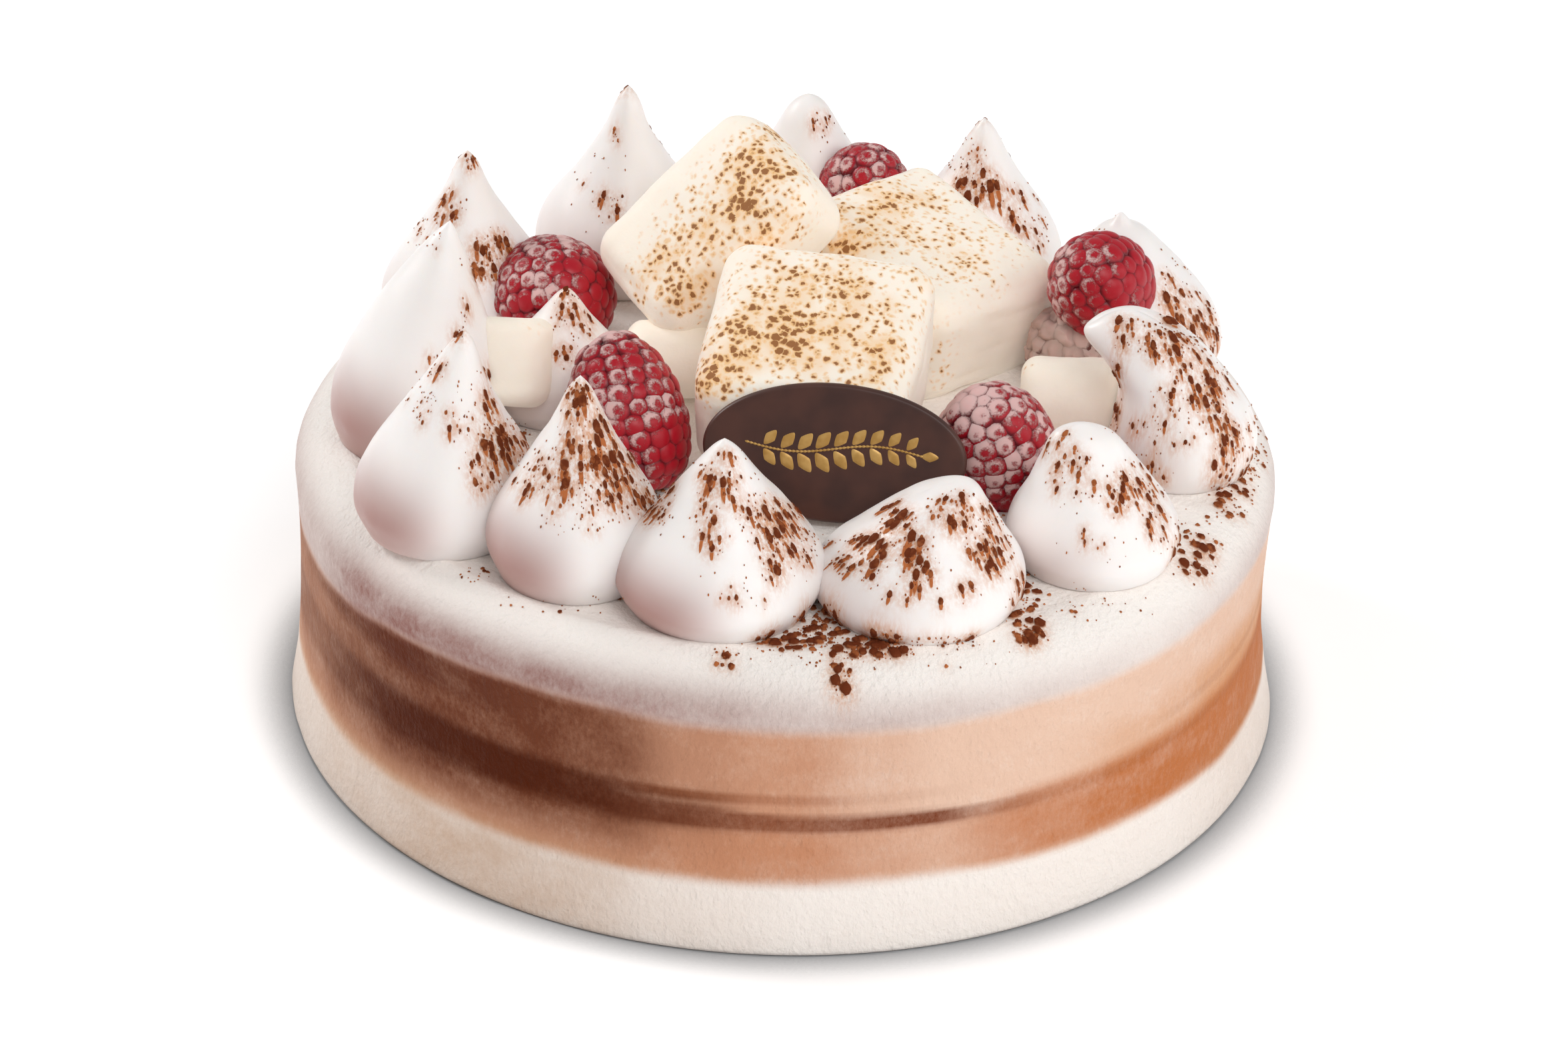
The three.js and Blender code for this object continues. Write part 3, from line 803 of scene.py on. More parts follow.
def mini_rule(radius, length, seed, taper=0, **place):
    """The rule for a barrel: flat end, bent edge, straight wall, bent edge, flat end."""
    flat = radius - MINI_ROUNDING
    straight = length - 2 * MINI_ROUNDING
    bend = MINI_ROUNDING * math.pi / 2
    walk = 2 * flat + 2 * bend + straight

    def point(up, angle):
        gone = up * walk
        if gone < flat:
            reach, z = gone, 0.0
        elif gone < flat + bend:
            turn = (gone - flat) / MINI_ROUNDING
            reach, z = flat + MINI_ROUNDING * math.sin(turn), MINI_ROUNDING * (1 - math.cos(turn))
        elif gone < flat + bend + straight:
            reach, z = radius, MINI_ROUNDING + gone - flat - bend
        elif gone < walk - flat:
            turn = (gone - flat - bend - straight) / MINI_ROUNDING
            reach, z = flat + MINI_ROUNDING * math.cos(turn), length - MINI_ROUNDING * (1 - math.sin(turn))
        else:
            reach, z = walk - gone, length
        z -= length / 2
        spot = Vector((reach * math.cos(angle), reach * math.sin(angle), z))
        off = ripples(spot, 6, 0.4, seed) + ripples(spot, 2.2, 0.1, seed + 3)
        wide = 1 + taper * z / (length / 2) + off / radius
        return (spot.x * wide, spot.y * wide, spot.z + off * 0.5)
    return point


for number, (side, entry) in enumerate(MINIS.items()):
    points, faces = turned(72, 84, mini_rule(seed=30 + 4 * number, **entry))
    piece("small_marshmallow_" + side, points, faces, mini_material,
          "mini_marshmallow_" + side, placed(entry["at"], entry["turn"]))
print("mini marshmallow:", len(points), "points")

# %% [markdown]
# A raspberry is many small round drupelets on a hollow cone, each 2.5 to 3 mm across. They could
# be drawn as a bump, but then the berry's edge would stay smooth. So every drupelet is its own
# little ball, set ring by ring on the berry's outline, with a plain core behind them that closes
# the gaps. All of them are joined into one mesh. Each point carries a number named crown, 1 on
# top of its drupelet and 0 in the gap, and one named frost.

# %% Raspberries: shape
BERRY_OUTLINE = [(0.58, 0), (0.88, 0.12), (1, 0.36), (0.9, 0.64), (0.62, 0.86), (0.3, 0.97), (0, 1)]
DRUPELET_WIDE = 2.9
SET_BACK = 1.15         # how far behind the berry's outline the drupelets have their middles
RINGS_CLOSE = 0.84      # rings lie closer together than the drupelets are wide
CORE_BEHIND = 0.75
WALK_STEPS = 200
RING_FROST = 0.26       # frost gathers in a ring round the top of every drupelet
FROST_LEAN = 0.42       # how much more frost lies on the side that frosty points to
FROST_PATCHES = 0.42

BERRIES = {
    "left_back": dict(at=(-38, 21, 58.6), turn=(60, 0, 20), radius=10.3, length=19, frost=0.06,
                      frosty=(-0.7, 0.1, 0.6)),
    "left_front": dict(at=(-25.5, -18, 60), turn=(-28, -14, 0), radius=9.7, length=25, frost=0.12,
                       frosty=(-0.7, 0, 0.7)),
    "back": dict(at=(11.8, 48, 66.4), turn=(40, 20, 0), radius=7.5, length=16, frost=0.0,
                 frosty=(-0.3, -0.2, 0.8)),
    "right_back": dict(at=(49, 14.5, 67.4), turn=(50, 0, -20), radius=8.7, length=18, frost=0.02,
                       frosty=(-0.9, -0.2, 0.2)),
    "right_front": dict(at=(32.2, -20.5, 57.2), turn=(20, -12, 0), radius=9.9, length=22, frost=0.32,
                        frosty=(-0.5, 0, 0.7)),
    "frosted": dict(at=(45.3, 15.5, 55.6), turn=(0, 0, 0), radius=7.4, length=13.5, frost=0.7,
                    frosty=(0, 0, 1), rough=0.7),
}


def ball(rows, columns, widest):
    """A unit ball's cap, from its top at +Z down to the widest slope, in degrees."""
    points, faces = [(0.0, 0.0, 1.0)], []
    for row in range(1, rows + 1):
        slope = row / rows * math.radians(widest)
        turns = [2 * math.pi * k / columns for k in range(columns)]
        points += [(math.sin(slope) * math.cos(turn), math.sin(slope) * math.sin(turn), math.cos(slope))
                   for turn in turns]
    faces += [(0, 1 + k, 1 + (k + 1) % columns) for k in range(columns)]
    for row in range(rows - 1):
        low = 1 + row * columns
        faces += [(low + k, low + columns + k, low + columns + (k + 1) % columns, low + (k + 1) % columns)
                  for k in range(columns)]
    return np.array(points), faces


DRUPELET_POINTS, DRUPELET_FACES = ball(7, 14, 80)


def berry_places(radius, length, luck):
    """Where the drupelets sit: (middle, outward direction, size) in mm, ring by ring."""
    places = []
    walk = [curve_through(BERRY_OUTLINE, k / WALK_STEPS) for k in range(WALK_STEPS + 1)]
    walk = [(share * (radius - SET_BACK), (level - 0.5) * (length - 2 * SET_BACK)) for share, level in walk]
    gone = [0.0]
    for (r0, z0), (r1, z1) in zip(walk, walk[1:]):
        gone.append(gone[-1] + math.hypot(r1 - r0, z1 - z0))
    rings = max(3, round(gone[-1] / (DRUPELET_WIDE * RINGS_CLOSE)))
    for ring in range(rings + 1):
        spot = int(np.argmin(np.abs(np.array(gone) - gone[-1] * ring / rings)))
        reach, z = walk[spot]
        r_in, z_in = walk[max(spot - 3, 0)]
        r_out, z_out = walk[min(spot + 3, WALK_STEPS)]
        slope = math.atan2(r_in - r_out, z_out - z_in)
        count = max(1, round(2 * math.pi * reach / DRUPELET_WIDE))
        for k in range(count):
            turn = 2 * math.pi * (k + 0.5 * (ring % 2) + luck.uniform(-0.12, 0.12)) / count
            out = Vector((math.cos(slope) * math.cos(turn), math.cos(slope) * math.sin(turn),
                          math.sin(slope)))
            if count == 1:
                out = Vector((0, 0, 1))
            middle = Vector((reach * math.cos(turn), reach * math.sin(turn), z + luck.uniform(-0.15, 0.15)))
            places.append((middle, out, DRUPELET_WIDE / 2 * luck.uniform(1.08, 1.3)))
    return places


def core_rule(radius, length):
    """The rule for the plain core, which stays just inside the drupelets."""
    def point(up, angle):
        share, level = curve_through(BERRY_OUTLINE, up)
        reach = 0 if up == 0.0 else share * (radius - CORE_BEHIND)
        return (reach * math.cos(angle), reach * math.sin(angle), (level - 0.5) * (length - 2 * CORE_BEHIND))
    return point


def berry_skin(radius, length, frost, frosty, seed, turn, rough=0.0, **place):
    """A whole raspberry as joined drupelets round a core, with its crown and frost numbers."""
    luck = random.Random(seed)
    frosty = placed((0, 0, 0), turn).to_3x3().inverted() @ Vector(frosty).normalized()

    def frost_at(spots, outward):
        patches = np.array([noise.noise(Vector(spot) / 5 + Vector((seed, 0, 0))) for spot in spots])
        return frost + FROST_PATCHES * patches + FROST_LEAN * outward @ np.array(frosty)

    core_points, faces = turned(26, 40, core_rule(radius, length))
    outward = core_points / np.maximum(np.linalg.norm(core_points, axis=1), 0.1)[:, None]
    points, crown = [core_points], [np.zeros(len(core_points))]
    frosting = [frost_at(core_points, outward) - 0.02]
    start = len(core_points)
    top = DRUPELET_POINTS[:, 2].clip(0, 1)
    for middle, out, size in berry_places(radius, length, luck):
        tilt = np.array(out.to_track_quat("Z", "Y").to_matrix())
        squash = np.array((luck.uniform(1.15, 1.35), luck.uniform(1.15, 1.35), luck.uniform(0.62, 0.76)))
        shaped = (DRUPELET_POINTS * squash * size) @ tilt.T + np.array(middle)
        points.append(shaped)
        crown.append(top)
        ring = RING_FROST * smooth(0.99, 0.93, top) * smooth(0.66, 0.8, top)
        frosting.append(frost_at(shaped, (DRUPELET_POINTS @ tilt.T)) + ring + luck.uniform(-0.12, 0.12))
        faces += [tuple(start + c for c in face) for face in DRUPELET_FACES]
        start += len(DRUPELET_POINTS)
    points = np.concatenate(points)
    if rough:
        points += np.array([[ripples(spot, 1.5, rough, seed + way) + ripples(spot, 4, rough, seed + way)
                             for way in (0, 9, 18)] for spot in points])
    return points, faces, np.concatenate(crown), np.concatenate(frosting)


# %% [markdown]
# The fruit is moist and deep red, cherry red on the crowns. Down in the gaps between drupelets it is painted
# almost black-red, a painted shade that darkens the frost there too.
# Frost lies over it. Where frost covers the skin the gloss goes, so the same mask that whitens
# the colour also raises the roughness.

# %% Raspberries: finish and making
def berry_material(name, shaded_gap, crown, frost_color, crystal_scale):
    material, tree, shader, at = finish_material(name)
    on_drupelet = painted(tree, "crown")
    # painted shade: the colour darkens from each crown down into the gaps
    fruit = mix(tree, rise(tree, on_drupelet, 0.4, 0.8), shaded_gap, crown)
    frost = use(tree, FROST, {"Vector": at, "Fruit Color": fruit, "Frost Color": frost_color,
                              "Frost": painted(tree, "frost"), "Crystal Scale": crystal_scale})
    feed(tree, shader, {
        # painted shade: deep in the gaps even the frost is darkened
        "Base Color": mix(tree, rise(tree, on_drupelet, 0.72, 0.3, 0.0, 0.4), frost["Color"], shaded_gap),
        "Roughness": rise(tree, frost["Frosted"], 0.0, 1.0, 0.34, 0.8),
        "Specular IOR Level": 0.35,
    })
    relief(tree, shader, frost["Frosted"], 0.7, 0.3)
    let_light_in(shader, 0.15, (1.0, 0.2, 0.2), 2.0)
    return material


red_material = berry_material("frosted red raspberry", rgb(104, 5, 20), rgb(174, 13, 33),
                              rgb(226, 188, 184), 2.6)
grey_material = berry_material("raspberry under heavy frost", rgb(110, 60, 54), rgb(150, 98, 90),
                               rgb(206, 176, 166), 1.6)

for number, (side, entry) in enumerate(BERRIES.items()):
    whitened = side == "frosted"
    points, faces, crown, frosting = berry_skin(seed=40 + number, **entry)
    made = piece("frozen_raspberry_" + side, points, faces, grey_material if whitened else red_material,
                 "raspberry_" + side,
                 placed(entry["at"], entry["turn"]))
    paint(made, "crown", crown)
    paint(made, "frost", frosting)
    print("raspberry", side, "has", int((crown == 1).sum()), "drupelets")

# %% [markdown]
# The plaque is a thin oval cast from dark chocolate, with a softly rounded edge. It is turned
# like the rest, from one face round the edge to the other, and stretched into an oval. It
# carries a plain ornament, a sprig of leaves in gold.

# %% Plaque
PLAQUE_LONG, PLAQUE_TALL, PLAQUE_THICK = 41.0, 21.8, 1.9
PLAQUE_EDGE = 0.6
FACE_SHARE = 0.4         # each face takes this share of the walk, and the edge takes the rest
PLAQUE_PLACE = placed((7.3, -30, 60.3), (-19, 0, -7))


def plaque_point(up, angle):
    """From the middle of the back face, where up is 0, over the edge to the front face's, where it is 1."""
    half = PLAQUE_THICK / 2
    if up < FACE_SHARE or up > 1 - FACE_SHARE:
        inward = up / FACE_SHARE if up < 0.5 else (1 - up) / FACE_SHARE
        edge, depth = -PLAQUE_EDGE, half if up < 0.5 else -half
    else:
        turn = (up - FACE_SHARE) / (1 - 2 * FACE_SHARE) * math.pi
        inward, edge = 1.0, -PLAQUE_EDGE * (1 - math.sin(turn))
        depth = math.cos(turn) * half
    x = (PLAQUE_LONG / 2 + edge) * inward * math.cos(angle)
    z = (PLAQUE_TALL / 2 + edge) * inward * math.sin(angle)
    return (x, depth + ripples((x, depth, z), 9, 0.06, 60), z)


chocolate_material, tree, shader, at = finish_material("dark chocolate")
bloom = use(tree, UNEVEN, {"Vector": at, "Ripple Scale": 0.16, "Grain Scale": 1.5, "Grain Share": 0.2})
bloomed = rise(tree, bloom["Cloud"], 0.3, 0.7)
feed(tree, shader, {"Base Color": mix(tree, bloomed, rgb(59, 29, 21), rgb(77, 42, 31)),
                    "Roughness": rise(tree, bloom["Cloud"], 0.3, 0.7, 0.5, 0.4)})
relief(tree, shader, bloom["Height"], 0.2, 0.2)

points, faces = turned(70, 144, plaque_point)
piece("chocolate_plaque", points, faces, chocolate_material, "plaque", PLAQUE_PLACE)
print("plaque:", len(points), "points")

# %% [markdown]
# The gold sprig is edible gold paint, so it is barely thicker than a coat of paint. A gently
# curved stem carries pairs of pointed leaves, and each leaf is a little pad that swells in its
# middle. All are joined into one mesh that lies on the plaque's front face.

# %% Gold sprig
SPRIG_LONG = 27.0
SPRIG_UP = 0.8
SPRIG_SWAY = 0.9
STEM_BEADS = 46
BEAD_LONG, BEAD_WIDE = 1.0, 0.5
LEAF_PAIRS = 9
LEAF_LONG, LEAF_WIDE = 3.9, 2.325
LEAF_STEP = 2.75
LEAF_TILT = math.radians(52)
GOLD_THICK = 0.22
GOLD_SUNK = 0.06         # the paint's edge reaches this far into the chocolate
PAD_RINGS, PAD_AROUND = 4, 28


def stem_height(x):
    return SPRIG_UP + SPRIG_SWAY * math.sin(x / SPRIG_LONG * 2 * math.pi)


def pad(middle, tilt, long, wide, points, faces):
    """Adds a pointed pad on the plaque's face: a leaf, or a small one as a bead of the stem."""
    start = len(points)
    for ring in range(PAD_RINGS + 1):
        share = ring / PAD_RINGS
        for k in range(PAD_AROUND if ring else 1):
            angle = 2 * math.pi * k / PAD_AROUND
            along = long / 2 * share * math.cos(angle)
            across = wide / 2 * share * math.sin(angle) * (1 - 0.45 * abs(math.cos(angle)))
            x = middle[0] + along * math.cos(tilt) - across * math.sin(tilt)
            z = middle[1] + along * math.sin(tilt) + across * math.cos(tilt)
            out = GOLD_THICK * (1 - share ** 3)
            points.append((x, -PLAQUE_THICK / 2 + GOLD_SUNK - out, z))
    faces += [(start, start + 1 + (k + 1) % PAD_AROUND, start + 1 + k) for k in range(PAD_AROUND)]
    for ring in range(PAD_RINGS - 1):
        low = start + 1 + ring * PAD_AROUND
        faces += ring_faces(low, low + PAD_AROUND, PAD_AROUND)


points, faces = [], []
for step in range(STEM_BEADS):
    x = -SPRIG_LONG / 2 + SPRIG_LONG * step / (STEM_BEADS - 1)
    tilt = math.atan2(stem_height(x + 0.1) - stem_height(x), 0.1)
    pad((x, stem_height(x)), tilt, BEAD_LONG, BEAD_WIDE, points, faces)
for leaf in range(LEAF_PAIRS):
    x = -SPRIG_LONG / 2 + 2.6 + LEAF_STEP * leaf
    size = 1 - 0.045 * abs(leaf - 3)
    for way in (1, -1):
        middle = (x + 0.9, stem_height(x) + way * 1.75 * size)
        pad(middle, way * LEAF_TILT, LEAF_LONG * size, LEAF_WIDE * size, points, faces)
tip = SPRIG_LONG / 2
pad((tip + 1.3, stem_height(tip)), 0, LEAF_LONG * 0.8, LEAF_WIDE * 0.8, points, faces)

gold_material, tree, shader, at = finish_material("edible gold paint")
brushed = use(tree, UNEVEN, {"Vector": at, "Ripple Scale": 0.5, "Grain Scale": 4.0})
worn = rise(tree, brushed["Cloud"], 0.35, 0.7)
feed(tree, shader, {"Base Color": mix(tree, worn, rgb(186, 142, 72), rgb(208, 166, 96)), "Metallic": 0.35,
                    "Roughness": rise(tree, brushed["Cloud"], 0.3, 0.7, 0.5, 0.36)})
piece("gold_sprig", points, faces, gold_material, place=PLAQUE_PLACE)
print("gold sprig:", len(points), "points")

# %% [markdown]
# Cocoa is dusted from above, so it lands on whatever lies open. To put it where it shows on the
# real cake, each fleck starts from a spot in the picture and travels along the camera's line of
# sight until it meets a surface. Only a fleck that meets cream stays. It rests on the surface,
# and on a slope it is drawn out downhill, because wet cocoa creeps down.

# %% Cocoa: landing on the cream
CREAM_PIECES = ["cream_cake"] + ["piped_" + name for name in KISSES]


def world_points(made):
    found = np.empty(len(made.data.vertices) * 3)
    made.data.vertices.foreach_get("co", found)
    turn = np.array(made.matrix_world)
    return found.reshape(-1, 3) @ turn[:3, :3].T + turn[:3, 3]


SURFACES = {}
for name, made in PIECES.items():
    faces = [tuple(p.vertices) for p in made.data.polygons]
    SURFACES[name] = BVHTree.FromPolygons([Vector(p) for p in world_points(made)], faces)


def first_met(start, direction):
    """The first surface that a straight line meets: (piece, place, outward direction), or None."""
    nearest = None
    for name, surface in SURFACES.items():
        place, normal, _, distance = surface.ray_cast(start, direction)
        if place is not None and (nearest is None or distance < nearest[0]):
            nearest = (distance, name, place, normal)
    return nearest[1:] if nearest else None


def seen_at(x, y):
    """What the picture shows at a pixel."""
    sight = Vector(((x - PHOTO_WIDE / 2) / FOCAL_PIXELS, (PHOTO_TALL / 2 - y) / FOCAL_PIXELS, -1))
    direction = (camera.matrix_world.to_3x3() @ sight).normalized()
    return first_met(camera.matrix_world.translation, direction)


# %% [markdown]
# Each dusting is an oval patch of the picture: its middle, its half width and half height in
# pixels, how many flecks it holds, and how long the longest are in millimetres.

# %% Cocoa: where it lies
DUSTINGS = {
    "back left kiss, tip": (704, 240, 8, 12, 9, 1.3),
    "back left kiss, left flank": (664, 300, 32, 36, 20, 1.7),
    "back left kiss, right flank": (738, 385, 40, 38, 42, 2.2),
    "back left kiss, low left": (640, 350, 26, 30, 14, 1.0),
    "tall left kiss, right flank": (697, 466, 9, 26, 6, 1.4),
    "tall back kiss, upper streak": (924, 206, 4, 14, 4, 2.0),
    "tall back kiss, flank": (900, 290, 50, 60, 16, 1.8),
    "inner kiss, tip": (852, 440, 18, 12, 9, 1.6),
    "inner kiss, flanks": (862, 500, 34, 52, 30, 1.8),
    "left kiss, tip": (690, 502, 8, 14, 6, 2.0),
    "left kiss, left flank": (655, 548, 14, 20, 10, 1.8),
    "left kiss, left edge": (632, 600, 26, 36, 16, 1.0),
    "left kiss, right streaks": (728, 590, 18, 50, 14, 2.4),
    "left kiss, right clump": (757, 665, 34, 36, 50, 2.6),
    "left kiss, low right": (725, 705, 32, 34, 14, 2.2),
    "left kiss, middle": (690, 620, 22, 40, 12, 1.4),
    "front left kiss, tip": (870, 592, 20, 18, 26, 2.4),
    "front left kiss, right flank": (925, 690, 46, 80, 110, 2.8),
    "front left kiss, low right": (985, 745, 30, 36, 40, 2.4),
    "front left kiss, middle": (862, 680, 30, 70, 34, 2.4),
    "front left kiss, left edge": (800, 700, 36, 44, 24, 1.9),
    "front left kiss, low": (870, 760, 60, 40, 26, 1.2),
    "front kiss, crown": (1085, 730, 44, 50, 34, 2.4),
    "front kiss, left edge": (985, 755, 24, 40, 16, 1.6),
    "front kiss, right edge": (1165, 775, 44, 30, 50, 2.4),
    "front kiss, right": (1160, 825, 34, 34, 26, 2.4),
    "front kiss, low right": (1212, 830, 14, 40, 18, 1.8),
    "front kiss, middle": (1070, 795, 40, 30, 14, 2.0),
    "front kiss, low": (1120, 875, 60, 34, 14, 1.6),
    "second front kiss, left": (1300, 835, 30, 40, 22, 2.6),
    "second front kiss, crown": (1345, 785, 26, 30, 22, 2.8),
    "second front kiss, middle": (1370, 835, 34, 34, 26, 2.6),
    "second front kiss, left edge": (1262, 825, 28, 34, 16, 1.8),
    "second front kiss, ridge": (1450, 765, 60, 26, 44, 2.2),
    "second front kiss, right": (1485, 820, 36, 44, 42, 2.2),
    "second front kiss, low": (1380, 880, 80, 30, 16, 2.0),
    "third front kiss, crown": (1605, 690, 40, 40, 20, 1.9),
    "third front kiss, right": (1715, 730, 40, 44, 34, 2.2),
    "third front kiss, middle": (1640, 740, 60, 40, 18, 1.7),
    "third front kiss, low right": (1738, 795, 20, 30, 10, 1.6),
    "third front kiss, low": (1640, 820, 60, 30, 9, 1.0),
    "right kiss, crown": (1700, 500, 30, 30, 18, 2.2),
    "right kiss, left streaks": (1668, 590, 16, 50, 36, 2.4),
    "right kiss, ridge": (1765, 520, 40, 34, 34, 2.6),
    "right kiss, right flank": (1815, 590, 36, 50, 46, 2.4),
    "right kiss, low right": (1840, 655, 20, 30, 20, 2.2),
    "right kiss, low": (1740, 650, 60, 40, 16, 1.6),
    "right kiss, middle": (1750, 590, 30, 50, 20, 1.8),
    "far right kiss, band": (1780, 470, 40, 40, 30, 2.8),
    "far right kiss, right edge": (1815, 500, 16, 34, 22, 2.2),
    "far right kiss, left ridge": (1632, 356, 34, 14, 30, 2.0),
    "far right kiss, upper right": (1760, 400, 24, 30, 12, 1.4),
    "back right kiss, left flank": (1448, 240, 26, 40, 22, 1.6),
    "back right kiss, middle": (1462, 278, 34, 24, 20, 2.8),
    "back right kiss, right flank": (1530, 305, 34, 40, 16, 2.2),
    "back right kiss, low right": (1560, 350, 16, 30, 9, 1.6),
    "middle back kiss, flank": (1240, 190, 24, 34, 12, 1.3),
    "top, front heap": (1228, 938, 34, 28, 50, 2.3),
    "top, under the second kiss": (1305, 966, 68, 20, 66, 2.5),
    "top, under the front kiss": (1175, 962, 40, 16, 34, 2.4),
    "top, front patch": (1240, 970, 60, 26, 34, 2.2),
    "top, front right trail": (1430, 962, 60, 9, 18, 1.9),
    "top, lone flecks in front": (1088, 988, 22, 16, 7, 2.0),
    "top, spill over the rim": (1262, 1015, 16, 24, 14, 2.5),
    "top, right of the second kiss": (1540, 905, 28, 44, 34, 2.4),
    "top, in front of that patch": (1545, 955, 26, 16, 14, 2.6),
    "top, right strewn": (1640, 905, 90, 26, 16, 0.9),
    "top, right patch": (1795, 820, 38, 50, 36, 2.3),
    "top, far right patch": (1850, 720, 34, 60, 60, 2.2),
    "top, right edge": (1885, 660, 16, 60, 34, 1.4),
    "top, left specks": (715, 862, 24, 10, 10, 0.9),
    "top, left strewn": (850, 905, 90, 14, 9, 1.0),
    "top, front strewn": (1300, 985, 240, 20, 20, 0.8),
}

FINE_SHARE = 0.9         # fine specks for every fleck that a dusting names
FINE_STRAY = 1.25        # they stray further out of the patch
GATHERED = 0.62          # 0.5 would spread the flecks evenly, and more gathers them in the middle

chance = random.Random(5)
FLECKS = []
for x, y, wide, tall, count, longest in DUSTINGS.values():
    for number in range(round(count * (1 + FINE_SHARE))):
        turn, reach = chance.uniform(0, 2 * math.pi), chance.random() ** GATHERED
        reach *= 1 if number < count else FINE_STRAY
        met = seen_at(x + wide * reach * math.cos(turn), y + tall * reach * math.sin(turn))
        if met and met[0] in CREAM_PIECES:
            coarse = number < count
            long = longest * (0.18 + 0.74 * chance.random() ** 1.9) if coarse else chance.uniform(0.18, 0.5)
            FLECKS.append((*met, long))
print(len(FLECKS), "flecks landed from", len(DUSTINGS), "dustings")

# %% [markdown]
# The back of the cake was dusted in the same pass of the sieve, so it gets small heaps of its
# own. Here the flecks start high above the back half and fall a little inward. Only those that
# land on cream which the camera can't see are kept, so they leave the picture as it is.

# %% Cocoa: the back
BACK_HEAPS = 90
HEAP_DIRECTIONS = (8, 172)   # degrees from +X
HEAP_RADII = (58, 84)
HEAP_FLECKS = (8, 34)
HEAP_WIDE, HEAP_DEEP = 6, 5
FALL_FROM = 2.8 * CAKE_TOP
FALL_INWARD = 0.2
UNSEEN = -0.15           # the cream's outward direction must lean this far away from the camera

for _ in range(BACK_HEAPS):
    direction, reach = math.radians(chance.uniform(*HEAP_DIRECTIONS)), chance.uniform(*HEAP_RADII)
    for _ in range(chance.randint(*HEAP_FLECKS)):
        way = (reach * direction + chance.gauss(0, HEAP_WIDE)) / reach
        out = reach + chance.gauss(0, HEAP_DEEP)
        above = Vector((math.cos(way) * out, math.sin(way) * out, FALL_FROM)) * MM
        fall = Vector((-FALL_INWARD * math.cos(way), -FALL_INWARD * math.sin(way), -1)).normalized()
        met = first_met(above, fall)
        if met and met[0] in CREAM_PIECES and met[2].dot(to_camera) < UNSEEN:
            FLECKS.append((*met, 0.25 + 2.1 * chance.random() ** 2.2))
print(len(FLECKS), "flecks in all")

# %% [markdown]
# A fleck is a flat little lump. On level cream it is round, and on a steep flank it is drawn out
# downhill, often with a thin orange trail below it. A coarse cap is roughened and pressed onto
# the surface point by point, so that it follows the cream, and all are joined into one mesh. Two
# numbers go with each point: dark, for how much cocoa lies there, and rim, which is 1 at the
# edge, where wet cocoa fades into the cream.

# %% Cocoa: one joined mesh
LARGE_CAP, SMALL_CAP = ball(3, 9, 90), ball(2, 6, 90)
LARGE_FROM = 0.55        # longer flecks than this, in mm, get the finer cap
COCOA_DEEP, COCOA_ORANGE, COCOA_FADED = rgb(106, 48, 24), rgb(186, 108, 62), rgb(232, 194, 168)
CAP_UNEVEN = 0.2
LIFT = 0.03              # how far above the cream a fleck's edge lies, in mm
HIGHEST_LUMP = 0.6
LEVEL_CREAM = 0.35       # cocoa hardly creeps on the cake's own top and rim
TRAIL_FROM = 0.9         # longer flecks than this may have a trail
TRAIL_CHANCE = 0.75
TRAIL_HIGH = 0.03


def lay_cap(cap, surface, place, along, across, normal, height, luck):
    """A cap's points in mm, pressed onto the surface."""
    shape = cap[0] * np.array([1 + CAP_UNEVEN * luck.uniform(-1, 1) for _ in cap[0]])[:, None]
    found = []
    for x, y, z in shape:
        near, out, _, _ = surface.find_nearest(place + (along * x + across * y) * MM)
        out = out if out.dot(normal) > 0 else normal
        found.append(np.array(near + out * (LIFT + height * max(z, 0)) * MM) / MM)
    return found


def lay_fleck(name, place, normal, long, luck):
    """One fleck, and on a slope perhaps its trail: a list of (points, cap, darkness)."""
    down = Vector((0, 0, -1)) - normal * -normal.z
    steep = min(1.0, down.length * 1.15) * (LEVEL_CREAM if name == "cream_cake" else 1)
    if down.length < 0.25:
        down = Vector((luck.uniform(-1, 1), luck.uniform(-1, 1), 0.001))
        down -= normal * down.dot(normal)
    down.normalize()
    across = normal.cross(down)
    wide = long * luck.uniform(0.75, 1.05) * (1 - 0.36 * steep)
    cap = LARGE_CAP if long > LARGE_FROM else SMALL_CAP
    lump = min(HIGHEST_LUMP, 0.1 + (0.28 - 0.14 * steep) * wide)
    surface = SURFACES[name]
    fleck = lay_cap(cap, surface, place, down * long / 2, across * wide / 2, normal, lump, luck)
    laid = [(fleck, cap, min(1.0, luck.uniform(0.1, 0.6) + 0.32 * long))]
    if long > TRAIL_FROM and steep > 0.35 and luck.random() < TRAIL_CHANCE:
        reach = long * luck.uniform(0.9, 1.9)
        below = place + down * reach * 0.42 * MM
        along, across = down * reach / 2, across * wide * 0.36
        trail = lay_cap(LARGE_CAP, surface, below, along, across, normal, TRAIL_HIGH, luck)
        laid.append((trail, LARGE_CAP, luck.uniform(0.0, 0.35)))
    return laid


points, faces, dark, rim = [], [], [], []
for name, place, normal, long in FLECKS:
    for laid, cap, darkness in lay_fleck(name, place, normal, long, chance):
        start = len(points)
        points += laid
        faces += [tuple(start + c for c in face) for face in cap[1]]
        dark += [darkness] * len(laid)
        rim += list(1 - cap[0][:, 2].clip(0, 1))

cocoa_material, tree, shader, at = finish_material("loose cocoa")
powder = use(tree, UNEVEN, {"Vector": at, "Ripple Scale": 0.9, "Grain Scale": 4.0, "Grain Share": 0.8})
uneven = rise(tree, powder["Cloud"], 0.3, 0.7, -0.25, 0.25)
deepness = rise(tree, sums(tree, "ADD", painted(tree, "dark"), uneven), 0.1, 1.0)
cocoa_color = mix(tree, deepness, COCOA_ORANGE, COCOA_DEEP)
fading = rise(tree, painted(tree, "rim"), 0.5, 1.02, 0.0, 0.85)
feed(tree, shader, {"Base Color": mix(tree, fading, cocoa_color, COCOA_FADED), "Specular IOR Level": 0.1,
                    "Roughness": rise(tree, powder["Cloud"], 0.3, 0.7, 0.8, 0.95)})
relief(tree, shader, powder["Height"], 0.6, 0.2)
cocoa = piece("loose_cocoa", np.array(points), faces, cocoa_material)
paint(cocoa, "dark", dark)
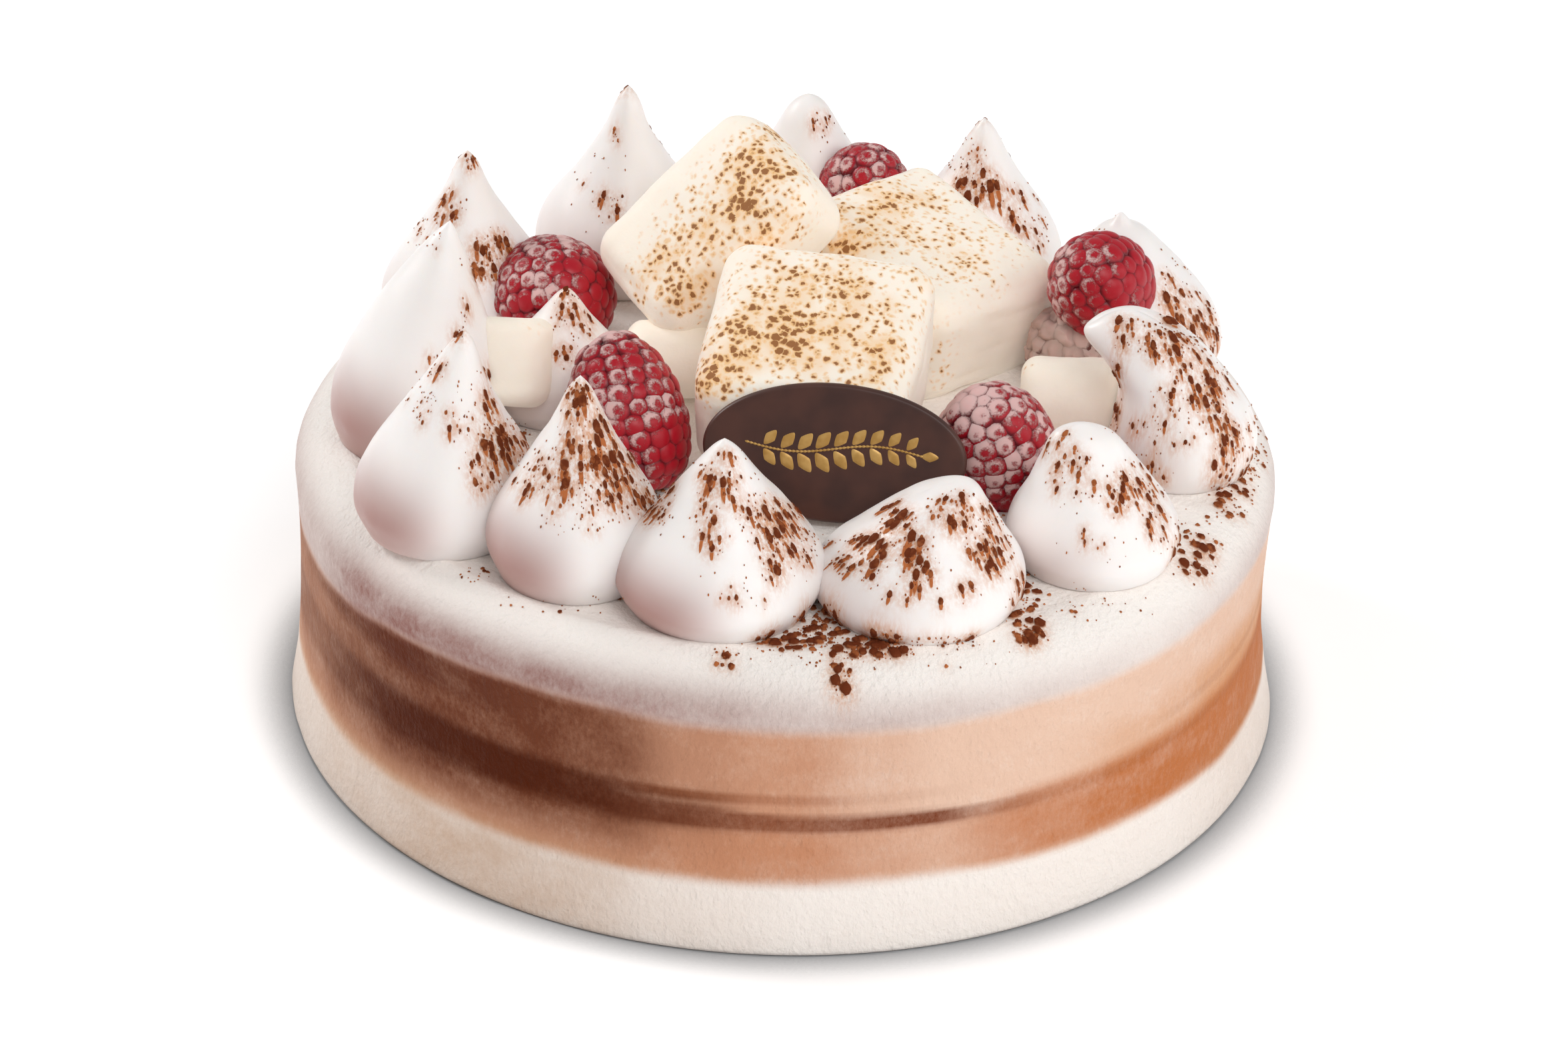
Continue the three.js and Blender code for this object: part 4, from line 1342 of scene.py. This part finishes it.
paint(cocoa, "rim", rim)
print("cocoa mesh:", len(faces), "faces")

# %% [markdown]
# Now the cream learns where its cocoa lies. Every fleck adds to the cocoa number of the points
# near it, a little more below than above, so that the stain trails downhill.

# %% Cocoa: the stain round every fleck
STAIN_FROM = 0.5         # shorter flecks leave no stain
STAIN_REACH = 1.25
STAIN_TRAIL = 0.6        # how far below a fleck its stain lies, as a share of its length
STAIN_WET = 0.9
STAIN_MOST = 0.9

for name in CREAM_PIECES:
    spots = world_points(PIECES[name]) / MM
    amount = np.zeros(len(spots))
    for met_name, place, normal, long in FLECKS:
        if met_name != name or long < STAIN_FROM:
            continue
        steep = math.sqrt(max(0.0, 1 - normal.z ** 2))
        away = spots - np.array(place) / MM
        away[:, 2] += STAIN_TRAIL * steep * long
        away[:, 2] /= 1 + steep
        reach = STAIN_REACH * (0.4 + 0.4 * long)
        amount += STAIN_WET * steep * long * np.exp(-(away ** 2).sum(1) / reach ** 2)
    paint(PIECES[name], "cocoa", STAIN_MOST * (1 - np.exp(-amount)))
print("stained", len(CREAM_PIECES), "cream pieces")

# %% [markdown]
# The torch is aimed in the same way. Each pass is a round patch that starts from a spot in the
# picture: its two pixels, then its radius in millimetres and its strength. It marks only the
# marshmallow that it meets, and fades round the edges.

# %% Torching the marshmallows
TORCH_SHARE, TORCH_HEAT = 0.75, 1.35
TORCH_PASSES = {
    "left block, across its face": [(1155, 240, 7.5, 0.9), (1120, 300, 8.0, 0.95), (1070, 350, 8.0, 1.0),
                                    (1020, 400, 7.5, 0.95)],
    "left block, towards its edges": [(1170, 205, 4.0, 0.8), (1160, 330, 5.5, 0.7), (1020, 440, 4.5, 0.5),
                                      (960, 430, 4.0, 0.35)],
    "front block, middle of its face": [(1085, 540, 6.5, 0.95), (1130, 490, 7.0, 1.0), (1200, 505, 7.5, 1.0),
                                        (1270, 510, 7.5, 1.0), (1330, 520, 6.0, 0.7), (1060, 570, 4.0, 0.9)],
    "front block, upper half": [(1180, 430, 7.5, 0.65), (1280, 440, 7.5, 0.65), (1360, 450, 6.0, 0.5),
                                (1150, 390, 6.0, 0.45), (1260, 395, 6.0, 0.4), (1340, 400, 6.0, 0.3)],
    "front block, low middle": [(1290, 575, 6.0, 0.5)],
    "right block, left half": [(1250, 370, 6.0, 0.85), (1300, 355, 7.0, 0.8), (1350, 310, 8.0, 0.6),
                               (1430, 370, 8.0, 0.6), (1310, 300, 6.0, 0.7), (1400, 290, 8.0, 0.5)],
    "right block, right half": [(1500, 350, 7.0, 0.4), (1400, 430, 4.0, 0.5), (1404, 510, 4.0, 0.5),
                                (1460, 420, 6.0, 0.35), (1408, 560, 3.5, 0.5)],
    "left mini": [(800, 487, 2.0, 0.35)],
    "right mini": [(1540, 555, 2.5, 0.35)],
}

torched = {name: np.zeros(len(made.data.vertices)) for name, made in PIECES.items() if "marshmallow" in name}
for label, passes in TORCH_PASSES.items():
    for x, y, reach, strength in passes:
        met = seen_at(x, y)[0:2]
        away = (world_points(PIECES[met[0]]) - np.array(met[1])) / MM
        untouched = 1 - strength * np.exp(-(away ** 2).sum(1) / reach ** 2) * TORCH_SHARE
        torched[met[0]] = 1 - (1 - torched[met[0]]) * untouched
    print("torched", label, "on", met[0], "in", len(passes), "passes")
for name, values in torched.items():
    paint(PIECES[name], "toast", values * TORCH_HEAT)

# %% [markdown]
# The floor is only a stage. It is a white sheet far wider than the cake, and isn't part of it.
# Right beside the foot of the cake it is closed in and darkens, which grounds the cake with a
# narrow soft shadow. Further out a little light of its own lifts it to pure white.

# %% Floor
FLOOR_WIDE = 6.0
FLOOR_LIFT = 0.3
SHADOW_REACH = 15 * MM
SHADOW_GREY, FLOOR_WHITE = (0.36, 0.365, 0.375, 1), (0.92, 0.92, 0.92, 1)

half = FLOOR_WIDE / 2
corners = [(-half, -half, 0), (half, -half, 0), (half, half, 0), (-half, half, 0)]
floor_mesh = bpy.data.meshes.new("floor")
floor_mesh.from_pydata(corners, [], [(0, 1, 2, 3)])
floor = bpy.data.objects.new("floor", floor_mesh)
bpy.context.scene.collection.objects.link(floor)
floor_material, tree, shader, at = finish_material("white floor")
open_floor = add(tree, "ShaderNodeAmbientOcclusion", {"Distance": SHADOW_REACH}).outputs["AO"]
feed(tree, shader, {"Base Color": mix(tree, rise(tree, open_floor, 0.5, 0.9), SHADOW_GREY, FLOOR_WHITE),
                    "Roughness": 0.9, "Specular IOR Level": 0.1, "Emission Color": (1, 1, 1, 1),
                    "Emission Strength": rise(tree, open_floor, 0.58, 0.92, 0.0, FLOOR_LIFT)})
floor_mesh.materials.append(floor_material)
print("floor:", FLOOR_WIDE, "m wide")
